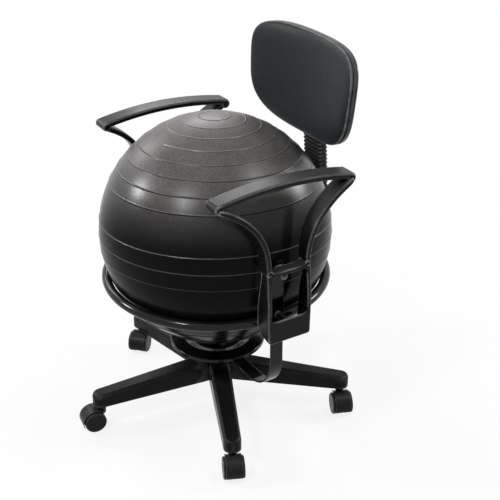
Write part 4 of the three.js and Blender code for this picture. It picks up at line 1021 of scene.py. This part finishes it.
def leg_section(x, half, crown, radius):
    """One arch per row: up one side, round the corner, over the top and down again."""
    arc = quarter_turn(8)
    radius = np.minimum(radius, half * 0.92)[:, None]
    half, crown = half[:, None], crown[:, None]
    side = np.array([0, 0.04, 0.5, 0.96])
    top = np.array([0.05, 0.5, 0.95])
    side_y = half + 0 * side
    side_z = LEG_BOTTOM + side * (crown - radius - LEG_BOTTOM)
    arc_y = half - radius + radius * np.cos(arc)
    arc_z = crown - radius + radius * np.sin(arc)
    top_y = (half - radius) * (1 - 2 * top)
    top_z = crown + 0 * top
    y = join([side_y, arc_y, top_y, -arc_y[:, ::-1], -side_y[:, ::-1]], axis=1)
    z = join([side_z, arc_z, top_z, arc_z[:, ::-1], side_z[:, ::-1]], axis=1)
    return grid(x[:, None], y, z)


def leg_size(reach):
    """A leg's half width and the height of its crown, which fall evenly from the hub to the tip."""
    share = np.clip((reach - HUB_RADIUS) / (LEG_REACH - HUB_RADIUS), 0, 1)
    return (LEG_WIDTH - LEG_NARROWING * share) / 2, LEG_CROWN - LEG_FALL * share


def leg_arch(inset):
    """Stations along a leg: even to the nose, then closing in as a half circle."""
    nose = np.sin(quarter_turn(14)[1:])
    even = LEG_REACH - inset - LEG_NOSE
    x = join([np.linspace(HUB_RADIUS - 7, even, 16), even + LEG_NOSE * nose])
    close = 1 - quarter_round((even + LEG_NOSE - x) / LEG_NOSE)
    half, crown = leg_size(x)
    half = half - inset - close * (LEG_NOSE - 0.4)
    return leg_section(x, half, crown - inset - close ** 1.5 * 8, LEG_ROUNDING - inset)


def leg_skins():
    """One leg: the arch outside and inside as one looped section, ribs across, a keel and the
    stem's boss."""
    made = [skin(join([leg_arch(0), leg_arch(LEG_WALL)[:, ::-1]], axis=1))]
    bottom = LEG_BOTTOM + 0.5
    for place in RIB_PLACES:
        half, crown = leg_size(place)
        top = crown - 7
        made.append(block_skin((place - RIB_HALF, 2 - half, bottom), (place + RIB_HALF, half - 2, top)))
    made.append(block_skin((HUB_RADIUS - 3, -RIB_HALF, bottom), (CASTER_CIRCLE, RIB_HALF, KEEL_TOP)))
    low = LEG_BOTTOM - 0.2
    boss = rounded_profile([(5.9, low), (11, low), (12, BOSS_TOP), (5.9, BOSS_TOP)], 0.8)
    made.append(moved(turned(boss, 48, looped=True), offset=(CASTER_CIRCLE, 0, 0)))
    return made


def hub_skin():
    """The hub's profile, out over its top and down the bore, turned round Z."""
    outer = rounded_path([(HUB_RADIUS, LEG_BOTTOM), (42.2, 66), (36.2, 119), (34.5, HUB_TOP),
                          (16.5, HUB_TOP), (15.3, HUB_TOP - 1.5)], [1.5, 30, 3.0, 1.0], 6)
    inner = rounded_path([(13.9, LEG_BOTTOM), (21, LEG_BOTTOM), (21, 117), (32.5, 117), (39.5, LEG_BOTTOM)],
                         [1.0, 3, 3], 5)
    return turned(finer(join([outer, inner]), 8), 120, looped=True)


leg = leg_skins()
leg_angles = BASE_TURN + full_turn(LEGS)
base_skins = [hub_skin()] + [moved(made, about_z(angle)) for angle in leg_angles for made in leg]
piece("moulded_base", base_skins, "base", "satin_nylon", "star_base")


# Casters, drawn about the stem with the wheel trailing along +X

def hood_skins():
    """The hood: a soft strip carried round an arc over the wheels, a web between them down to the
    axle, and a tapered boss for the stem."""
    turn = np.radians(np.linspace(*HOOD_SPAN, 56))[:, None]
    flare = HOOD_FLARE * smoothstep(math.radians(HOOD_LIP), math.radians(HOOD_SPAN[1]), turn)
    section = rounded_rectangle(np.full(56, HOOD_WIDTH), HOOD_WALL, 0.9, 5, (0.03, 0.25, 0.5, 0.75, 0.97))
    reach = HOOD_RADIUS + flare + section[..., 1]
    roof = grid(CASTER_TRAIL + reach * np.cos(turn), section[..., 0], AXLE_HEIGHT + reach * np.sin(turn))
    below = np.linspace(np.pi, 2 * np.pi, 16)[:, None]
    across, up = join([
        HOOD_RADIUS * np.hstack([np.cos(turn), np.sin(turn)]),
        AXLE_BOSS * np.hstack([np.cos(below), np.sin(below)]),
    ]).T
    shrink = np.array([0.96, 1.0, 1.0, 0.96])[:, None]
    depth = np.array([-4.2, -3.2, 3.2, 4.2])[:, None]
    web = grid(CASTER_TRAIL + shrink * across, depth, AXLE_HEIGHT + shrink * up)
    boss = rounded_profile([(0.5, 36), (8.0, 36), (10.2, 59.0), (0.5, 59.0)], 1.0)
    return [skin(roof), skin(web), turned(boss, 48)]


def wheel_skin(side):
    """A wheel turned about the axle: a rounded tread, an outer face with a rim, a groove and a
    slightly domed cap, and a plain inner face."""
    profile = rounded_profile([
        (3.4, 5.0), (24.0, 5.0), (WHEEL_RADIUS, 6.4), (WHEEL_RADIUS, 21.8), (24.0, 23.4), (21.6, 23.4),
        (21.0, 22.2), (20.0, 22.2), (19.4, 23.2), (8.0, 23.8), (7.4, 23.3), (0.5, 23.5),
    ], [0.8, 0.8, 0.9, 0.9, 0.4, 0.3, 0.3, 0.4, 6.0, 0.3], 3, 5.0)
    return moved(turned(profile, 96), towards((0, side, 0)), (CASTER_TRAIL, 0, AXLE_HEIGHT))


hood = hood_skins()
wheels = {"left": wheel_skin(1), "right": wheel_skin(-1)}
for number, (angle, trail) in enumerate(zip(leg_angles, CASTER_TRAILS), start=1):
    name = f"caster_{number}"
    place = about_z(angle + math.radians(trail))
    stem = (CASTER_CIRCLE * math.cos(angle), CASTER_CIRCLE * math.sin(angle), 0)
    piece(f"{name}_cover", [moved(made, place, stem) for made in hood], name, "caster_nylon", f"{name}_hood")
    for side, wheel in wheels.items():
        body = f"{name}_{side}_wheel"
        piece(f"{name}_{side}_disc", [moved(wheel, place, stem)], body, "caster_nylon", body)


# CAD pieces that show as they are take the finish of their own slot
KEPT = {
    "plated_steel": ["swivel_spindle", "retaining_washer", "spindle_nut"]
    + [f"{kind}_{i}" for kind in ("frame_bolt", "shell_screw") for i in range(1, 5)]
    + [f"{side}_arm_{level}_bolt" for side in ("left", "right") for level in ("lower", "upper")]
    + [f"caster_{i}_{kind}" for i in range(1, 6) for kind in ("stem", "axle")],
    "white_nylon": ["thrust_washer"],
    "painted_steel": ["swivel_housing"],
    "black_plastic": ["height_carrier"],
    "plywood": ["back_board"],
}
for look, names in KEPT.items():
    for name in names:
        materials = frame["nodes"][name].data.materials
        materials.clear()
        materials.append(MATERIALS[look])


# Floor, lamps and camera

FLOOR_HALF = 14
PLAIN_FROM = (0.4, 1.3)
PLAIN_SHARE = (0.84, 1.0)
WORLD_LEVEL = (0.15, 1.0)
LOOK_AT = Vector((0, 0, 0.45))
CAMERA_PLACE = np.array([1875.7, -1061.2, 1536.35])


def seen_as_plain(tree):
    """1 for the rays by which camera, glass and gloss see a thing, and 0 for the light it throws."""
    path = add(tree, "LightPath").outputs
    looked = arithmetic(tree, "MAXIMUM", path["Is Camera Ray"], path["Is Transmission Ray"])
    return arithmetic(tree, "MAXIMUM", looked, path["Is Glossy Ray"])


def floor_paper():
    """White paper, diffuse to the lamps. What camera, gloss and glass see of it is mostly plain
    white, wholly so away from the chair, so that only a soft shadow shows."""
    tree = new_tree("floor_paper")
    paper = add(tree, "BsdfDiffuse", {"Color": (0.9, 0.9, 0.9, 1)})
    white = add(tree, "Emission", {"Color": (1, 1, 1, 1), "Strength": 1.0})
    place = add(tree, "TexCoord").outputs["Object"]
    away = add(tree, "VectorMath", {0: place}, operation="LENGTH").outputs["Value"]
    plain = ranged(tree, away, PLAIN_FROM, PLAIN_SHARE, "SMOOTHSTEP")
    share = arithmetic(tree, "MULTIPLY", seen_as_plain(tree), plain)
    add(tree, "OutputMaterial", {"Surface": add(tree, "MixShader", {0: share, 1: paper, 2: white})})
    return MATERIALS["floor_paper"]


floor_mesh = bpy.data.meshes.new("floor")
corners = [(x * FLOOR_HALF, y * FLOOR_HALF, 0) for x, y in ((-1, -1), (1, -1), (1, 1), (-1, 1))]
floor_mesh.from_pydata(corners, [], [(0, 1, 2, 3)])
floor_mesh.materials.append(floor_paper())
placed("floor", floor_mesh)

world = bpy.data.worlds.new("studio")
bpy.context.scene.world = world
world.use_nodes = True
sky = world.node_tree
sky.nodes.clear()
level = ranged(sky, seen_as_plain(sky), target=WORLD_LEVEL)
light = add(sky, "Background", {"Color": (1, 1, 1, 1), "Strength": level})
add(sky, "OutputWorld", {"Surface": light})

# Square soft lamps that look at the middle of the chair: place, size in metres, watts
LAMPS = {
    "left_window": ((-1.29, -1.67, 1.55), 0.36, 28),
    "front_lamp": ((0.61, -1.6, 2.2), 0.38, 24),
    "back_lamp": ((0.47, 2.05, 1.3), 0.45, 17),
    "rear_softbox": ((1.0, 0.95, 2.3), 0.45, 16),
    "far_window": ((-1.9, 0.9, 1.85), 0.7, 12),
    "left_sky": ((-2.1, -0.5, 1.6), 0.8, 10),
}
for name, (place, size, power) in LAMPS.items():
    data = bpy.data.lights.new(name, "AREA")
    data.size = size
    data.energy = power
    lamp = placed(name, data)
    lamp.location = place
    lamp.rotation_euler = (LOOK_AT - Vector(place)).to_track_quat("-Z", "Y").to_euler()

camera_data = bpy.data.cameras.new("photo_view")
camera_data.sensor_width = 36.0
camera_data.lens = 77.56
camera = placed("photo_view", camera_data)
right = Vector((0.5232, 0.8522, 0.0))
up = Vector((-0.3998, 0.2455, 0.8831))
back = Vector((0.7526, -0.4621, 0.4691))
turn = Matrix((right, up, back)).transposed().to_4x4()
turn.translation = Vector(CAMERA_PLACE * MM + AXIS)
camera.matrix_world = turn
bpy.context.scene.camera = camera

bpy.context.scene.view_settings.view_transform = "Standard"
